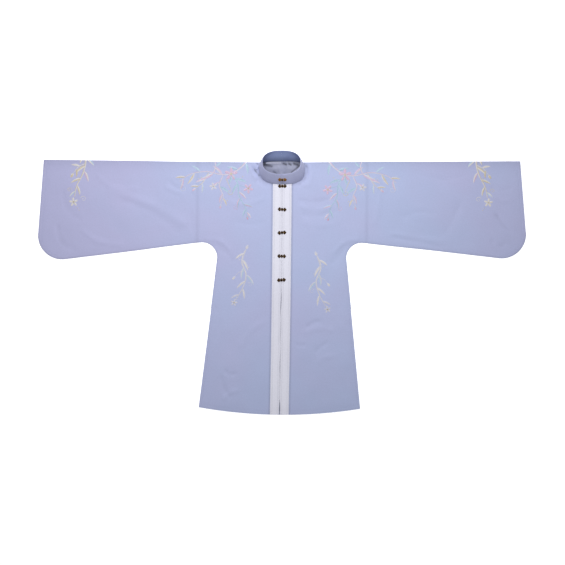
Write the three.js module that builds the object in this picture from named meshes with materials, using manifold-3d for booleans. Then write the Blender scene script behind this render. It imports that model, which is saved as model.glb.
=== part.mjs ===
// Stand-collar long jacket with meeting front edges and wide round-cornered sleeves, laid flat, face up.
// Units are millimetres. X runs across the garment, Y runs from hem to collar, and Z points up off the table.
// The origin is the centre of the garment's footprint, at table level. Left and right are the wearer's.
//
// Each body panel is cut in one with its front and back, folded at the shoulder and sewn down the side.
// Each sleeve is a folded tube, sewn along its lower edge and round its corner, and open at the cuff.
// Outlines are worked out in plan: x out from the centre line, y up from the shoulder fold.

import * as THREE from 'three';
import { mergeVertices } from 'three/addons/utils/BufferGeometryUtils.js';
import Module from 'manifold-3d';

const { clamp, degToRad, lerp, radToDeg, smoothstep } = THREE.MathUtils;

// Cloth and the gaps between pieces
const CLOTH = 1.2;
const LAYER_GAP = 0.4;
const SEAM_GAP = 0.3;
const FRONT_GAP = 1.2;
const EDGE_ROUNDING = 0.8;

// Body
const FRONT_LENGTH = 966;
const SHOULDER_Y = 462.584;
const HEM_CORNER = { x: 309, y: -940 };
const UNDERARM = { x: 246.5, y: -306, radius: 59 };
const VENT_TOP_Y = -560;

// Sleeves
const SLEEVE_SEAM_X = 325;
const SLEEVE_SEAM_DEPTH = 307.5;
const SLEEVE_TOP_CORNER = { x: 912, y: 7 };
const SLEEVE_CORNER_RADIUS = 92;
const CUFF_SPREAD = 0.0772;
const LOWER_EDGE_SLOPE = -0.119;

// Neck hole and collar. The hole is a flattened oval, widest some way below the shoulder fold.
const NECK = { halfWidth: 84.5, centreY: -38, back: 44, front: 46, backPower: 5, frontPower: 2.4 };
const COLLAR_THICKNESS = 2.4;
const COLLAR_CLEARANCE = 0.7;
const COLLAR_BACK_INSET = 1.6;
const COLLAR_BASE_Z = 2.8;
const COLLAR_SEWN_HEIGHT = 4;
const COLLAR_BULGE = 2;
const COLLAR_SEGMENTS = 30;
const COLLAR_ROWS = 4;
const RIM = { halfWidth: 72, centreX: -3.5, centreY: -3, back: 43.2, front: 44, backPower: 2.5, frontPower: 2.4 };
const RIM_Z = { back: 30, side: 46, front: 40 };

// Plackets and neck facing
const PLACKET_WIDTH = 36;
const PLACKET_THICKNESS = 1;
const FACING = { thickness: 1, reachX: 118, reachY: -126, sideShare: 0.45, columns: 8, rows: 5 };

// Grid sizes
const PLACKET_COLUMNS = 2;
const NECK_COLUMNS = 6;
const SHOULDER_COLUMNS = 5;
const NECK_ROWS = 3;
const ARMHOLE_ROWS = 9;
const UNDERARM_ROWS = 2;
const SKIRT_ROWS = 16;
const SLEEVE_SECTIONS = 13;
const CORNER_SECTIONS = 6;
const SLEEVE_ROWS = 9;

// The front layer stands off the back where the collar props it up and along a few soft folds.
const NECK_LIFT = { y: -20, height: 2.7, reach: 175 };
const SOFT_FOLDS = [
  { fromX: 112, fromY: -20, toX: 250, toY: -290, width: 34, height: 1.0 },
  { fromX: -110, fromY: -30, toX: -235, toY: -280, width: 32, height: 1.1 },
  { fromX: 60, fromY: -400, toX: 150, toY: -840, width: 40, height: 1.4 },
  { fromX: -80, fromY: -470, toX: -190, toY: -900, width: 42, height: 1.3 },
  { fromX: 225, fromY: -420, toX: 262, toY: -760, width: 36, height: 1.2 },
  { fromX: -215, fromY: -380, toX: -240, toY: -640, width: 34, height: 1.0 },
  { fromX: 330, fromY: -60, toX: 560, toY: -210, width: 40, height: 1.2 },
  { fromX: 620, fromY: -110, toX: 860, toY: -260, width: 44, height: 1.5 },
  { fromX: -300, fromY: -90, toX: -520, toY: -170, width: 40, height: 1.3 },
  { fromX: -560, fromY: -230, toX: -800, toY: -90, width: 44, height: 1.4 },
];

// Clasps: a ring half and a knob half, each with a trefoil plate sewn to the cloth
const CLASP_YS = [-91, -180, -269, -359, -450];
const CLASP = {
  plate: 1.6,
  lobeRadius: 3.5,
  ringOuter: 5.4,
  ringInner: 3.7,
  ringClearance: 0.8,
  armWidth: 3.2,
  armThickness: 1.3,
  stem: 2.6,
  dome: 3.5,
  domeFlatness: 0.62,
};
const TREFOIL_LOBES = [
  { x: 9.2, y: 3.4 },
  { x: 9.2, y: -3.4 },
  { x: 13.2, y: 0 },
];
const ROUND_SEGMENTS = 10;

// The jacket was laid down by hand: its body leans towards the wearer's right, and its sleeves aren't level.
// The body's lean and turn give way to the sleeves' shift and rise between two distances from the centre.
const LAY = {
  hemLean: -12,
  leanPower: 1.5,
  bodyTurn: -0.0104,
  sleeveShift: -1.5,
  sleeveTopRise: -3,
  sleeveBottomRise: 2,
  fromX: 325,
  toX: 600,
};
const CENTRE_X = 1.5;

// Moves a plan point into the garment's frame
function place(side, x, y, z) {
  const isSleeve = smoothstep(x, LAY.fromX, LAY.toX);
  const down = Math.max(-y / FRONT_LENGTH, 0);
  const shift = lerp(LAY.hemLean * down ** LAY.leanPower, LAY.sleeveShift, isSleeve);
  const sleeveDown = Math.min((down * FRONT_LENGTH) / SLEEVE_SEAM_DEPTH, 1);
  const cuffRise = lerp(LAY.sleeveTopRise, LAY.sleeveBottomRise, sleeveDown);
  const rise = lerp(LAY.bodyTurn * x * down, (cuffRise * x) / SLEEVE_TOP_CORNER.x, isSleeve);
  return new THREE.Vector3(side * x + shift + CENTRE_X, y + side * rise + SHOULDER_Y, z);
}

function distanceToFold(fold, x, y) {
  const run = new THREE.Vector2(fold.toX - fold.fromX, fold.toY - fold.fromY);
  const here = new THREE.Vector2(x - fold.fromX, y - fold.fromY);
  const along = clamp(here.dot(run) / run.lengthSq(), 0, 1);
  return here.sub(run.multiplyScalar(along)).length();
}

function bell(distance, width) {
  return Math.exp(-((distance / width) ** 2));
}

function lift(side, x, y) {
  const neck = NECK_LIFT.height * bell(Math.hypot(x, y - NECK_LIFT.y), NECK_LIFT.reach);
  const folds = SOFT_FOLDS.map((fold) => fold.height * bell(distanceToFold(fold, side * x, y), fold.width));
  return neck + Math.max(...folds);
}

function frontTop(side, x, y) {
  return 2 * CLOTH + LAYER_GAP + lift(side, x, y);
}

// Point on half of a flattened oval: angle 90 is its back end on the centre line, 0 its side, -90 its front end
function ovalPoint(oval, angle) {
  const power = angle > 0 ? oval.backPower : oval.frontPower;
  const depth = angle > 0 ? oval.back : -oval.front;
  const x = oval.halfWidth * Math.abs(Math.cos(degToRad(angle))) ** (2 / power);
  const y = depth * Math.abs(Math.sin(degToRad(angle))) ** (2 / power);
  return new THREE.Vector2(x, oval.centreY + y);
}

// The neck point, where the hole's edge meets the shoulder fold
const NECK_POINT_ANGLE = radToDeg(Math.asin((-NECK.centreY / NECK.back) ** (NECK.backPower / 2)));
const NECK_POINT_X = ovalPoint(NECK, NECK_POINT_ANGLE).x;

function frontNeckY(x) {
  return NECK.centreY - NECK.front * (1 - (x / NECK.halfWidth) ** NECK.frontPower) ** (1 / NECK.frontPower);
}

function backNeckY(x) {
  return NECK.centreY + NECK.back * (1 - (x / NECK.halfWidth) ** NECK.backPower) ** (1 / NECK.backPower);
}

function shoulderY(x) {
  return (SLEEVE_TOP_CORNER.y * (x - NECK_POINT_X)) / (SLEEVE_TOP_CORNER.x - NECK_POINT_X);
}

function hemY(x) {
  return -FRONT_LENGTH + (FRONT_LENGTH + HEM_CORNER.y) * (x / HEM_CORNER.x) ** 2;
}

function sideX(y) {
  const top = UNDERARM.y - UNDERARM.radius;
  return lerp(UNDERARM.x, HEM_CORNER.x, (top - y) / (top - HEM_CORNER.y));
}

// Point on the underarm curve: angle 90 where it meets the sleeve's lower edge, 0 where it meets the side
function underarmPoint(angle) {
  const x = UNDERARM.x + UNDERARM.radius * (1 - Math.cos(degToRad(angle)));
  const y = UNDERARM.y - UNDERARM.radius * (1 - Math.sin(degToRad(angle)));
  return new THREE.Vector2(x, y);
}

function solid(vertices, triangles) {
  const geometry = new THREE.BufferGeometry().setFromPoints(vertices);
  geometry.setIndex(triangles.flat());
  geometry.computeVertexNormals();
  return geometry;
}

function quad(triangles, a, b, c, d) {
  triangles.push([a, b, c], [a, c, d]);
}

// A piece of two cloth layers over one grid. has(i, j) says which cells the cut holds, frontXY and backXY
// give a grid point's plan place, and sewn(a, b) says whether the boundary from a to b joins the two layers.
function foldedPiece({ side, columns, rows, has, frontXY, backXY, sewn }) {
  const key = (i, j) => i * (rows + 1) + j;
  const boundary = [];
  const cells = [];
  for (let i = 0; i < columns; i += 1) {
    for (let j = 0; j < rows; j += 1) {
      if (!has(i, j)) continue;
      cells.push([i, j]);
      // Rows run down the garment, so this order goes round the cell counterclockwise
      const corners = [[i, j], [i, j + 1], [i + 1, j + 1], [i + 1, j]];
      const across = [has(i - 1, j), has(i, j + 1), has(i + 1, j), has(i, j - 1)];
      across.forEach((neighbour, n) => {
        if (!neighbour) boundary.push({ a: corners[n], b: corners[(n + 1) % 4] });
      });
    }
  }
  boundary.forEach((edge) => {
    edge.sewn = sewn(edge.a, edge.b);
  });

  // Outward direction at each point of a sewn edge, in plan
  const outward = new Map();
  boundary.filter((edge) => edge.sewn).forEach(({ a, b }) => {
    const run = frontXY(...b).sub(frontXY(...a));
    const normal = new THREE.Vector2(run.y, -run.x).normalize();
    [a, b].forEach((end) => {
      const sum = outward.get(key(...end)) ?? new THREE.Vector2();
      outward.set(key(...end), sum.add(normal));
    });
  });
  outward.forEach((direction) => direction.normalize());

  const vertices = [];
  const layers = ['frontOuter', 'frontInner', 'backInner', 'backOuter', 'edge'];
  const indices = Object.fromEntries(layers.map((layer) => [layer, new Map()]));
  const add = (layer, i, j, point, z) => {
    indices[layer].set(key(i, j), vertices.length);
    vertices.push(place(side, point.x, point.y, z));
  };
  const used = new Map();
  cells.forEach(([i, j]) => {
    [[i, j], [i, j + 1], [i + 1, j + 1], [i + 1, j]].forEach((node) => used.set(key(...node), node));
  });
  used.forEach(([i, j]) => {
    const front = frontXY(i, j);
    const back = backXY(i, j);
    const top = frontTop(side, front.x, front.y);
    const direction = outward.get(key(i, j));
    const inset = direction ? direction.clone().multiplyScalar(-CLOTH) : new THREE.Vector2();
    add('frontOuter', i, j, front, top);
    add('frontInner', i, j, front.clone().add(inset), top - CLOTH);
    add('backInner', i, j, back.clone().add(inset), CLOTH);
    add('backOuter', i, j, back, 0);
    if (direction) add('edge', i, j, front.clone().addScaledVector(direction, EDGE_ROUNDING), top / 2);
  });

  const at = (layer, node) => indices[layer].get(key(...node));
  const triangles = [];
  cells.forEach(([i, j]) => {
    const round = [[i, j], [i, j + 1], [i + 1, j + 1], [i + 1, j]];
    const reversed = [...round].reverse();
    quad(triangles, ...round.map((node) => at('frontOuter', node)));
    quad(triangles, ...reversed.map((node) => at('frontInner', node)));
    quad(triangles, ...round.map((node) => at('backInner', node)));
    quad(triangles, ...reversed.map((node) => at('backOuter', node)));
  });
  boundary.forEach(({ a, b, sewn: joined }) => {
    if (joined) {
      quad(triangles, at('backOuter', a), at('backOuter', b), at('edge', b), at('edge', a));
      quad(triangles, at('edge', a), at('edge', b), at('frontOuter', b), at('frontOuter', a));
      quad(triangles, at('backInner', b), at('backInner', a), at('frontInner', a), at('frontInner', b));
    } else {
      quad(triangles, at('frontInner', a), at('frontInner', b), at('frontOuter', b), at('frontOuter', a));
      quad(triangles, at('backOuter', a), at('backOuter', b), at('backInner', b), at('backInner', a));
    }
  });

  // Where a sewn stretch ends, a small face closes the join between the layers
  const starts = new Map(boundary.map((edge) => [key(...edge.a), edge]));
  boundary.forEach((edge) => {
    const next = starts.get(key(...edge.b));
    if (edge.sewn === next.sewn) return;
    const [edgePoint, ...layers] = ['edge', 'backOuter', 'backInner', 'frontInner', 'frontOuter'].map(
      (layer) => at(layer, edge.b),
    );
    for (let n = 0; n < layers.length - 1; n += 1) {
      const face = [edgePoint, layers[n], layers[n + 1]];
      triangles.push(edge.sewn ? face : face.reverse());
    }
  });
  const wound = side > 0 ? triangles : triangles.map(([p, q, r]) => [p, r, q]);
  return solid(vertices, wound);
}

// A single layer of cloth from a grid of points on its middle surface
function clothSheet(grid, thickness) {
  const last = { i: grid.length - 1, j: grid[0].length - 1 };
  const vertices = [];
  [1, -1].forEach((face) => {
    grid.forEach((line, i) => {
      line.forEach((point, j) => {
        const along = grid[Math.min(i + 1, last.i)][j].clone().sub(grid[Math.max(i - 1, 0)][j]);
        const up = line[Math.min(j + 1, last.j)].clone().sub(line[Math.max(j - 1, 0)]);
        const normal = along.cross(up).normalize();
        vertices.push(point.clone().addScaledVector(normal, (face * thickness) / 2));
      });
    });
  });
  const outer = (i, j) => i * grid[0].length + j;
  const inner = (i, j) => grid.length * grid[0].length + outer(i, j);
  const triangles = [];
  for (let i = 0; i < last.i; i += 1) {
    for (let j = 0; j < last.j; j += 1) {
      quad(triangles, outer(i, j), outer(i + 1, j), outer(i + 1, j + 1), outer(i, j + 1));
      quad(triangles, inner(i, j + 1), inner(i + 1, j + 1), inner(i + 1, j), inner(i, j));
    }
    quad(triangles, inner(i, 0), inner(i + 1, 0), outer(i + 1, 0), outer(i, 0));
    quad(triangles, outer(i, last.j), outer(i + 1, last.j), inner(i + 1, last.j), inner(i, last.j));
  }
  for (let j = 0; j < last.j; j += 1) {
    quad(triangles, inner(0, j + 1), inner(0, j), outer(0, j), outer(0, j + 1));
    quad(triangles, outer(last.i, j + 1), outer(last.i, j), inner(last.i, j), inner(last.i, j + 1));
  }
  return solid(vertices, triangles);
}

// The front's neck edge crosses its grid's first columns low down, and climbs to the neck point in a few rows
const NECK_SIDE_COLUMN = PLACKET_COLUMNS + NECK_COLUMNS;
const NECK_SIDE_ANGLES = [NECK_POINT_ANGLE, 29, 15.5, 0];
const FRONT_NECK = {
  start(i) {
    if (i <= PLACKET_COLUMNS) {
      const x = [FRONT_GAP / 2, PLACKET_WIDTH / 2, PLACKET_WIDTH][i];
      return new THREE.Vector2(x, frontNeckY(x));
    }
    const firstAngle = radToDeg(Math.acos((PLACKET_WIDTH / NECK.halfWidth) ** (NECK.frontPower / 2)));
    return ovalPoint(NECK, -firstAngle * (1 - (i - PLACKET_COLUMNS) / NECK_COLUMNS));
  },
  side: (j) => ovalPoint(NECK, NECK_SIDE_ANGLES[j]),
};

// The back's neck edge is nearly straight
const BACK_NECK_SIDE_X = 64;
const BACK_NECK = {
  start(i) {
    const share = (i - PLACKET_COLUMNS) / NECK_COLUMNS;
    const x = [SEAM_GAP / 2, PLACKET_WIDTH / 2][i] ?? lerp(PLACKET_WIDTH, BACK_NECK_SIDE_X, share);
    return new THREE.Vector2(x, backNeckY(x));
  },
  side(j) {
    const x = lerp(NECK_POINT_X, BACK_NECK_SIDE_X, j / NECK_ROWS);
    return new THREE.Vector2(x, backNeckY(x));
  },
};

// The panel's short sleeve stub has a column at each of these lower corners
const STUB_CORNERS = [
  underarmPoint(67.5),
  underarmPoint(90),
  new THREE.Vector2(SLEEVE_SEAM_X, -SLEEVE_SEAM_DEPTH),
];
const BODY_COLUMNS = NECK_SIDE_COLUMN + SHOULDER_COLUMNS;
const BODY_ROWS = ARMHOLE_ROWS + UNDERARM_ROWS + SKIRT_ROWS;

// Plan place of a body panel's grid point between the shoulder and the underarm
function upperBodyXY(i, j, neck) {
  const corner = underarmPoint(45);
  const out = (i - NECK_SIDE_COLUMN) / SHOULDER_COLUMNS;
  const shoulderX = lerp(NECK_POINT_X, corner.x, out);
  const level = lerp(NECK.centreY, (corner.y * NECK_ROWS) / ARMHOLE_ROWS, out);
  if (j < NECK_ROWS) {
    if (out <= 0) return neck.side(j);
    return new THREE.Vector2(shoulderX, lerp(shoulderY(shoulderX), level, j / NECK_ROWS));
  }
  const start = out <= 0 ? neck.start(i) : new THREE.Vector2(shoulderX, level);
  const even = lerp(PLACKET_WIDTH, corner.x, (i - PLACKET_COLUMNS) / (BODY_COLUMNS - PLACKET_COLUMNS));
  const x = i <= PLACKET_COLUMNS ? start.x : lerp(start.x, even, smoothstep(j, NECK_ROWS, ARMHOLE_ROWS));
  return new THREE.Vector2(x, lerp(start.y, corner.y, (j - NECK_ROWS) / (ARMHOLE_ROWS - NECK_ROWS)));
}

// Plan place of a body panel's grid point; the front and back differ at the neck and on the centre line
function bodyXY(i, j, neck) {
  if (i > BODY_COLUMNS) {
    const lower = STUB_CORNERS[i - BODY_COLUMNS - 1];
    return new THREE.Vector2(lower.x, lerp(shoulderY(lower.x), lower.y, j / ARMHOLE_ROWS));
  }
  if (j <= ARMHOLE_ROWS) return upperBodyXY(i, j, neck);
  const across = (edge) => {
    if (i <= PLACKET_COLUMNS) return neck.start(i).x;
    return lerp(PLACKET_WIDTH, edge, (i - PLACKET_COLUMNS) / (BODY_COLUMNS - PLACKET_COLUMNS));
  };
  if (j <= ARMHOLE_ROWS + UNDERARM_ROWS) {
    const curve = underarmPoint(45 * (1 - (j - ARMHOLE_ROWS) / UNDERARM_ROWS));
    return new THREE.Vector2(across(curve.x), curve.y);
  }
  const top = underarmPoint(0).y;
  const down = (j - ARMHOLE_ROWS - UNDERARM_ROWS) / SKIRT_ROWS;
  const x = across(sideX(lerp(top, HEM_CORNER.y, down)));
  return new THREE.Vector2(x, lerp(top, hemY(x), down));
}

const frontBodyXY = (i, j) => bodyXY(i, j, FRONT_NECK);
const backBodyXY = (i, j) => bodyXY(i, j, BACK_NECK);

function bodyPanel(side) {
  const columns = BODY_COLUMNS + STUB_CORNERS.length;
  const firstRow = (i) => (i < NECK_SIDE_COLUMN ? NECK_ROWS : 0);
  const isBody = (i, j) => i >= 0 && i < BODY_COLUMNS && j >= firstRow(i) && j < BODY_ROWS;
  const isStub = (i, j) => i >= BODY_COLUMNS && i < columns && j >= 0 && j < ARMHOLE_ROWS;
  const onShoulder = ([i, j]) => j === 0 && i >= NECK_SIDE_COLUMN;
  const onUnderarm = ([i, j]) => j === ARMHOLE_ROWS && i >= BODY_COLUMNS;
  const onSide = ([i, j]) => i === BODY_COLUMNS && j >= ARMHOLE_ROWS && frontBodyXY(i, j).y > VENT_TOP_Y;
  return foldedPiece({
    side,
    columns,
    rows: BODY_ROWS,
    has: (i, j) => isBody(i, j) || isStub(i, j),
    frontXY: frontBodyXY,
    backXY: backBodyXY,
    sewn: (a, b) => [onShoulder, onUnderarm, onSide].some((on) => on(a) && on(b)),
  });
}

// The sleeve's corner is a fillet between its lower edge and the line of its cuff
function sleeveCorner() {
  const along = new THREE.Vector2(1, LOWER_EDGE_SLOPE).normalize();
  const upCuff = new THREE.Vector2(-CUFF_SPREAD, 1).normalize();
  const rise = SLEEVE_TOP_CORNER.y + SLEEVE_SEAM_DEPTH;
  const start = SLEEVE_TOP_CORNER.x - SLEEVE_SEAM_X;
  const x = SLEEVE_SEAM_X + (start + CUFF_SPREAD * rise) / (1 + CUFF_SPREAD * LOWER_EDGE_SLOPE);
  const tip = new THREE.Vector2(x, -SLEEVE_SEAM_DEPTH + LOWER_EDGE_SLOPE * (x - SLEEVE_SEAM_X));
  const sweep = Math.acos(along.dot(upCuff));
  const from = tip.clone().addScaledVector(along, -SLEEVE_CORNER_RADIUS * Math.tan(sweep / 2));
  const centre = from.clone().add(new THREE.Vector2(-along.y, along.x).multiplyScalar(SLEEVE_CORNER_RADIUS));
  return { from, centre, startAngle: along.angle() - Math.PI / 2, sweep };
}

function sleeveXY(i, j) {
  const corner = sleeveCorner();
  const straight = Math.min(i / SLEEVE_SECTIONS, 1);
  const round = Math.max(i - SLEEVE_SECTIONS, 0) / CORNER_SECTIONS;
  const seam = new THREE.Vector2(SLEEVE_SEAM_X + SEAM_GAP, -SLEEVE_SEAM_DEPTH);
  let lower = seam.clone().lerp(corner.from, straight);
  if (round > 0) {
    const angle = corner.startAngle + corner.sweep * round;
    const outward = new THREE.Vector2(Math.cos(angle), Math.sin(angle));
    lower = corner.centre.clone().addScaledVector(outward, SLEEVE_CORNER_RADIUS);
  }
  const upperX = lerp(lerp(seam.x, corner.from.x, straight), SLEEVE_TOP_CORNER.x, round);
  const upper = new THREE.Vector2(upperX, shoulderY(upperX));
  return upper.lerp(lower, j / SLEEVE_ROWS);
}

function sleeve(side) {
  const columns = SLEEVE_SECTIONS + CORNER_SECTIONS;
  return foldedPiece({
    side,
    columns,
    rows: SLEEVE_ROWS,
    has: (i, j) => i >= 0 && i < columns && j >= 0 && j < SLEEVE_ROWS,
    frontXY: sleeveXY,
    backXY: sleeveXY,
    sewn: (a, b) => (a[1] === 0 && b[1] === 0) || (a[1] === SLEEVE_ROWS && b[1] === SLEEVE_ROWS),
  });
}

// Half of the collar's base line or rim, from the centre back to the centre front, evenly spaced
function collarLine(oval, heightAt) {
  const points = [];
  for (let angle = 90; angle >= -90; angle -= 3) {
    const point = ovalPoint(oval, angle);
    const centreGap = angle > 0 ? SEAM_GAP / 2 : FRONT_GAP / 2;
    points.push(new THREE.Vector3(Math.max(point.x, centreGap), point.y, heightAt(angle)));
  }
  return new THREE.CatmullRomCurve3(points, false, 'centripetal').getSpacedPoints(COLLAR_SEGMENTS);
}

function rimHeight(angle) {
  const share = Math.sin(degToRad(angle)) ** 2;
  return lerp(RIM_Z.side, angle > 0 ? RIM_Z.back : RIM_Z.front, share);
}

function collarGrid(side) {
  const inset = SEAM_GAP + COLLAR_THICKNESS / 2 + COLLAR_CLEARANCE;
  const foot = {
    ...NECK,
    halfWidth: NECK.halfWidth - inset,
    back: NECK.back - COLLAR_BACK_INSET,
    front: NECK.front - inset,
  };
  const base = collarLine(foot, () => COLLAR_BASE_Z);
  const rim = collarLine(RIM, rimHeight);
  const centre = new THREE.Vector3(0, (NECK.centreY + RIM.centreY) / 2, 0);
  return base.map((start, n) => {
    const sewnTop = start.clone().setZ(COLLAR_BASE_Z + COLLAR_SEWN_HEIGHT);
    const line = [start, sewnTop];
    for (let row = 1; row <= COLLAR_ROWS; row += 1) {
      const share = row / COLLAR_ROWS;
      const point = sewnTop.clone().lerp(rim[n], share);
      const out = point.clone().sub(centre).setZ(0).normalize();
      line.push(point.addScaledVector(out, COLLAR_BULGE * Math.sin(Math.PI * share)));
    }
    // The sewn edge, which is the first two rows, stays on the neckline, and the rim leans to one side
    return line.map((point, row) => {
      const x = Math.max(point.x, Math.min(start.x, rim[n].x));
      const shift = (RIM.centreX * Math.max(row - 1, 0)) / COLLAR_ROWS;
      return place(side, x, point.y, point.z).add(new THREE.Vector3(shift, 0, 0));
    });
  });
}

function placketGrid(side) {
  const middle = SEAM_GAP + PLACKET_THICKNESS / 2;
  const grid = [];
  for (let i = 0; i <= PLACKET_COLUMNS; i += 1) {
    const line = [];
    for (let j = NECK_ROWS; j <= BODY_ROWS; j += 1) {
      const point = frontBodyXY(i, j);
      line.push(place(side, point.x, point.y, frontTop(side, point.x, point.y) + middle));
    }
    grid.push(line);
  }
  return grid;
}

// The facing lies on the inside of the back, from its neck edge down to a curved lower edge
function facingGrid(side) {
  const { thickness, reachX, reachY, sideShare, columns, rows } = FACING;
  const grid = [];
  for (let i = 0; i <= columns; i += 1) {
    const x = lerp(SEAM_GAP / 2, reachX, i / columns);
    const top = backNeckY(Math.min(x, NECK_POINT_X)) - SEAM_GAP - 2 * CLOTH;
    const bottom = lerp(reachY, reachY * sideShare, (x / reachX) ** 3);
    const line = [];
    for (let j = 0; j <= rows; j += 1) {
      line.push(place(side, x, lerp(top, bottom, j / rows), CLOTH + SEAM_GAP + thickness / 2));
    }
    grid.push(line);
  }
  return grid;
}

const manifold = await Module();
manifold.setup();

function toManifold(geometry) {
  const bare = geometry.clone();
  bare.deleteAttribute('normal');
  bare.deleteAttribute('uv');
  const merged = mergeVertices(bare, 1e-4);
  const mesh = new manifold.Mesh({
    numProp: 3,
    vertProperties: Float32Array.from(merged.attributes.position.array),
    triVerts: Uint32Array.from(merged.index.array),
  });
  return new manifold.Manifold(mesh);
}

function fromManifold(body) {
  const mesh = body.getMesh();
  const geometry = new THREE.BufferGeometry();
  geometry.setAttribute('position', new THREE.BufferAttribute(mesh.vertProperties, 3));
  geometry.setIndex(new THREE.BufferAttribute(mesh.triVerts, 1));
  geometry.computeVertexNormals();
  return geometry;
}

function disc(x, y, radius, bottom, height) {
  const geometry = new THREE.CylinderGeometry(radius, radius, height, ROUND_SEGMENTS);
  geometry.rotateX(Math.PI / 2);
  geometry.translate(x, y, bottom + height / 2);
  return toManifold(geometry);
}

function block(fromX, toX, width, bottom, top) {
  const geometry = new THREE.BoxGeometry(toX - fromX, width, top - bottom);
  geometry.translate((fromX + toX) / 2, 0, (bottom + top) / 2);
  return toManifold(geometry);
}

function union(bodies) {
  return bodies.reduce((whole, body) => whole.add(body));
}

// A trefoil plate on the side that its sign names
function trefoil(sign) {
  return union(TREFOIL_LOBES.map(({ x, y }) => disc(sign * x, y, CLASP.lobeRadius, 0, CLASP.plate)));
}

function ringHalf() {
  const ring = disc(0, 0, CLASP.ringOuter, 0, CLASP.plate);
  const hole = disc(0, 0, CLASP.ringInner, -1, CLASP.plate + 2);
  const neck = block(-TREFOIL_LOBES[0].x, -CLASP.ringInner, CLASP.armWidth, 0, CLASP.plate);
  return fromManifold(union([trefoil(-1), ring.subtract(hole), neck.subtract(hole)]));
}

function knobHalf() {
  const armBottom = CLASP.plate + SEAM_GAP;
  const armTop = armBottom + CLASP.armThickness;
  const armEnd = TREFOIL_LOBES[0].x;
  const stem = disc(0, 0, CLASP.stem, 0, armTop);
  const arm = block(0, armEnd, CLASP.armWidth, armBottom, armTop);
  const riser = block(CLASP.ringOuter + CLASP.ringClearance, armEnd, CLASP.armWidth, CLASP.plate / 2, armTop);
  const dome = new THREE.SphereGeometry(CLASP.dome, ROUND_SEGMENTS, 8);
  dome.rotateX(Math.PI / 2);
  dome.scale(1, 1, CLASP.domeFlatness);
  dome.translate(0, 0, armTop + CLASP.dome * (1 - CLASP.domeFlatness) / 2);
  return fromManifold(union([trefoil(1), stem, arm, riser, toManifold(dome)]));
}

const cloth = new THREE.MeshStandardMaterial({ color: 0xb4bbe0, roughness: 0.82, metalness: 0 });
const collarCloth = new THREE.MeshStandardMaterial({ color: 0xa3a8cf, roughness: 0.8, metalness: 0 });
const whiteCloth = new THREE.MeshStandardMaterial({ color: 0xe6e6f1, roughness: 0.75, metalness: 0 });
const liningCloth = new THREE.MeshStandardMaterial({ color: 0xcfd0dc, roughness: 0.8, metalness: 0 });
const bronze = new THREE.MeshStandardMaterial({ color: 0x6b4a2b, roughness: 0.35, metalness: 0.9 });

const jacket = new THREE.Group();

function addPiece(name, geometry, material, parent = jacket) {
  const mesh = new THREE.Mesh(geometry, material);
  mesh.name = name;
  parent.add(mesh);
}

const SIDES = [{ name: 'left', sign: 1 }, { name: 'right', sign: -1 }];
SIDES.forEach(({ name, sign }) => {
  addPiece(`body_panel_${name}`, bodyPanel(sign), cloth);
  addPiece(`sleeve_${name}`, sleeve(sign), cloth);
  addPiece(`collar_${name}`, clothSheet(collarGrid(sign), COLLAR_THICKNESS), collarCloth);
  addPiece(`placket_${name}`, clothSheet(placketGrid(sign), PLACKET_THICKNESS), whiteCloth);
  addPiece(`neck_facing_${name}`, clothSheet(facingGrid(sign), FACING.thickness), liningCloth);
});

const ringGeometry = ringHalf();
const knobGeometry = knobHalf();

function addClasp(number, position, tilt) {
  const clasp = new THREE.Group();
  clasp.position.copy(position);
  clasp.rotation.x = tilt;
  addPiece(`clasp_${number}_ring`, ringGeometry, bronze, clasp);
  addPiece(`clasp_${number}_knob`, knobGeometry, bronze, clasp);
  jacket.add(clasp);
}

// The first clasp sits on the sloping front of the collar, and the others on the plackets
function collarClaspPlace() {
  const [, , below, middle, above] = collarGrid(1).at(-1);
  const slope = above.clone().sub(below).setX(0).normalize();
  const outward = new THREE.Vector3(0, -slope.z, slope.y);
  const position = middle.clone().addScaledVector(outward, COLLAR_THICKNESS / 2 + SEAM_GAP);
  position.x -= FRONT_GAP / 2;
  return { position, tilt: Math.atan2(slope.z, slope.y) };
}

const collarClasp = collarClaspPlace();
addClasp(1, collarClasp.position, collarClasp.tilt);
CLASP_YS.forEach((y, n) => {
  const top = Math.max(frontTop(1, PLACKET_WIDTH / 2, y), frontTop(-1, PLACKET_WIDTH / 2, y));
  addClasp(n + 2, place(1, 0, y, top + PLACKET_THICKNESS + 2 * SEAM_GAP), 0);
});

export default jacket;
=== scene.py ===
# The look of a stand-collar long jacket, laid flat and face up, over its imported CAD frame.
# Sizes are in millimetres in the jacket's plan: x out from the centre line, y up from the shoulder fold,
# z up off the table. Pieces are made in metres, in the CAD model's own frame.
# Left and right are the wearer's.

import math

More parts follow.
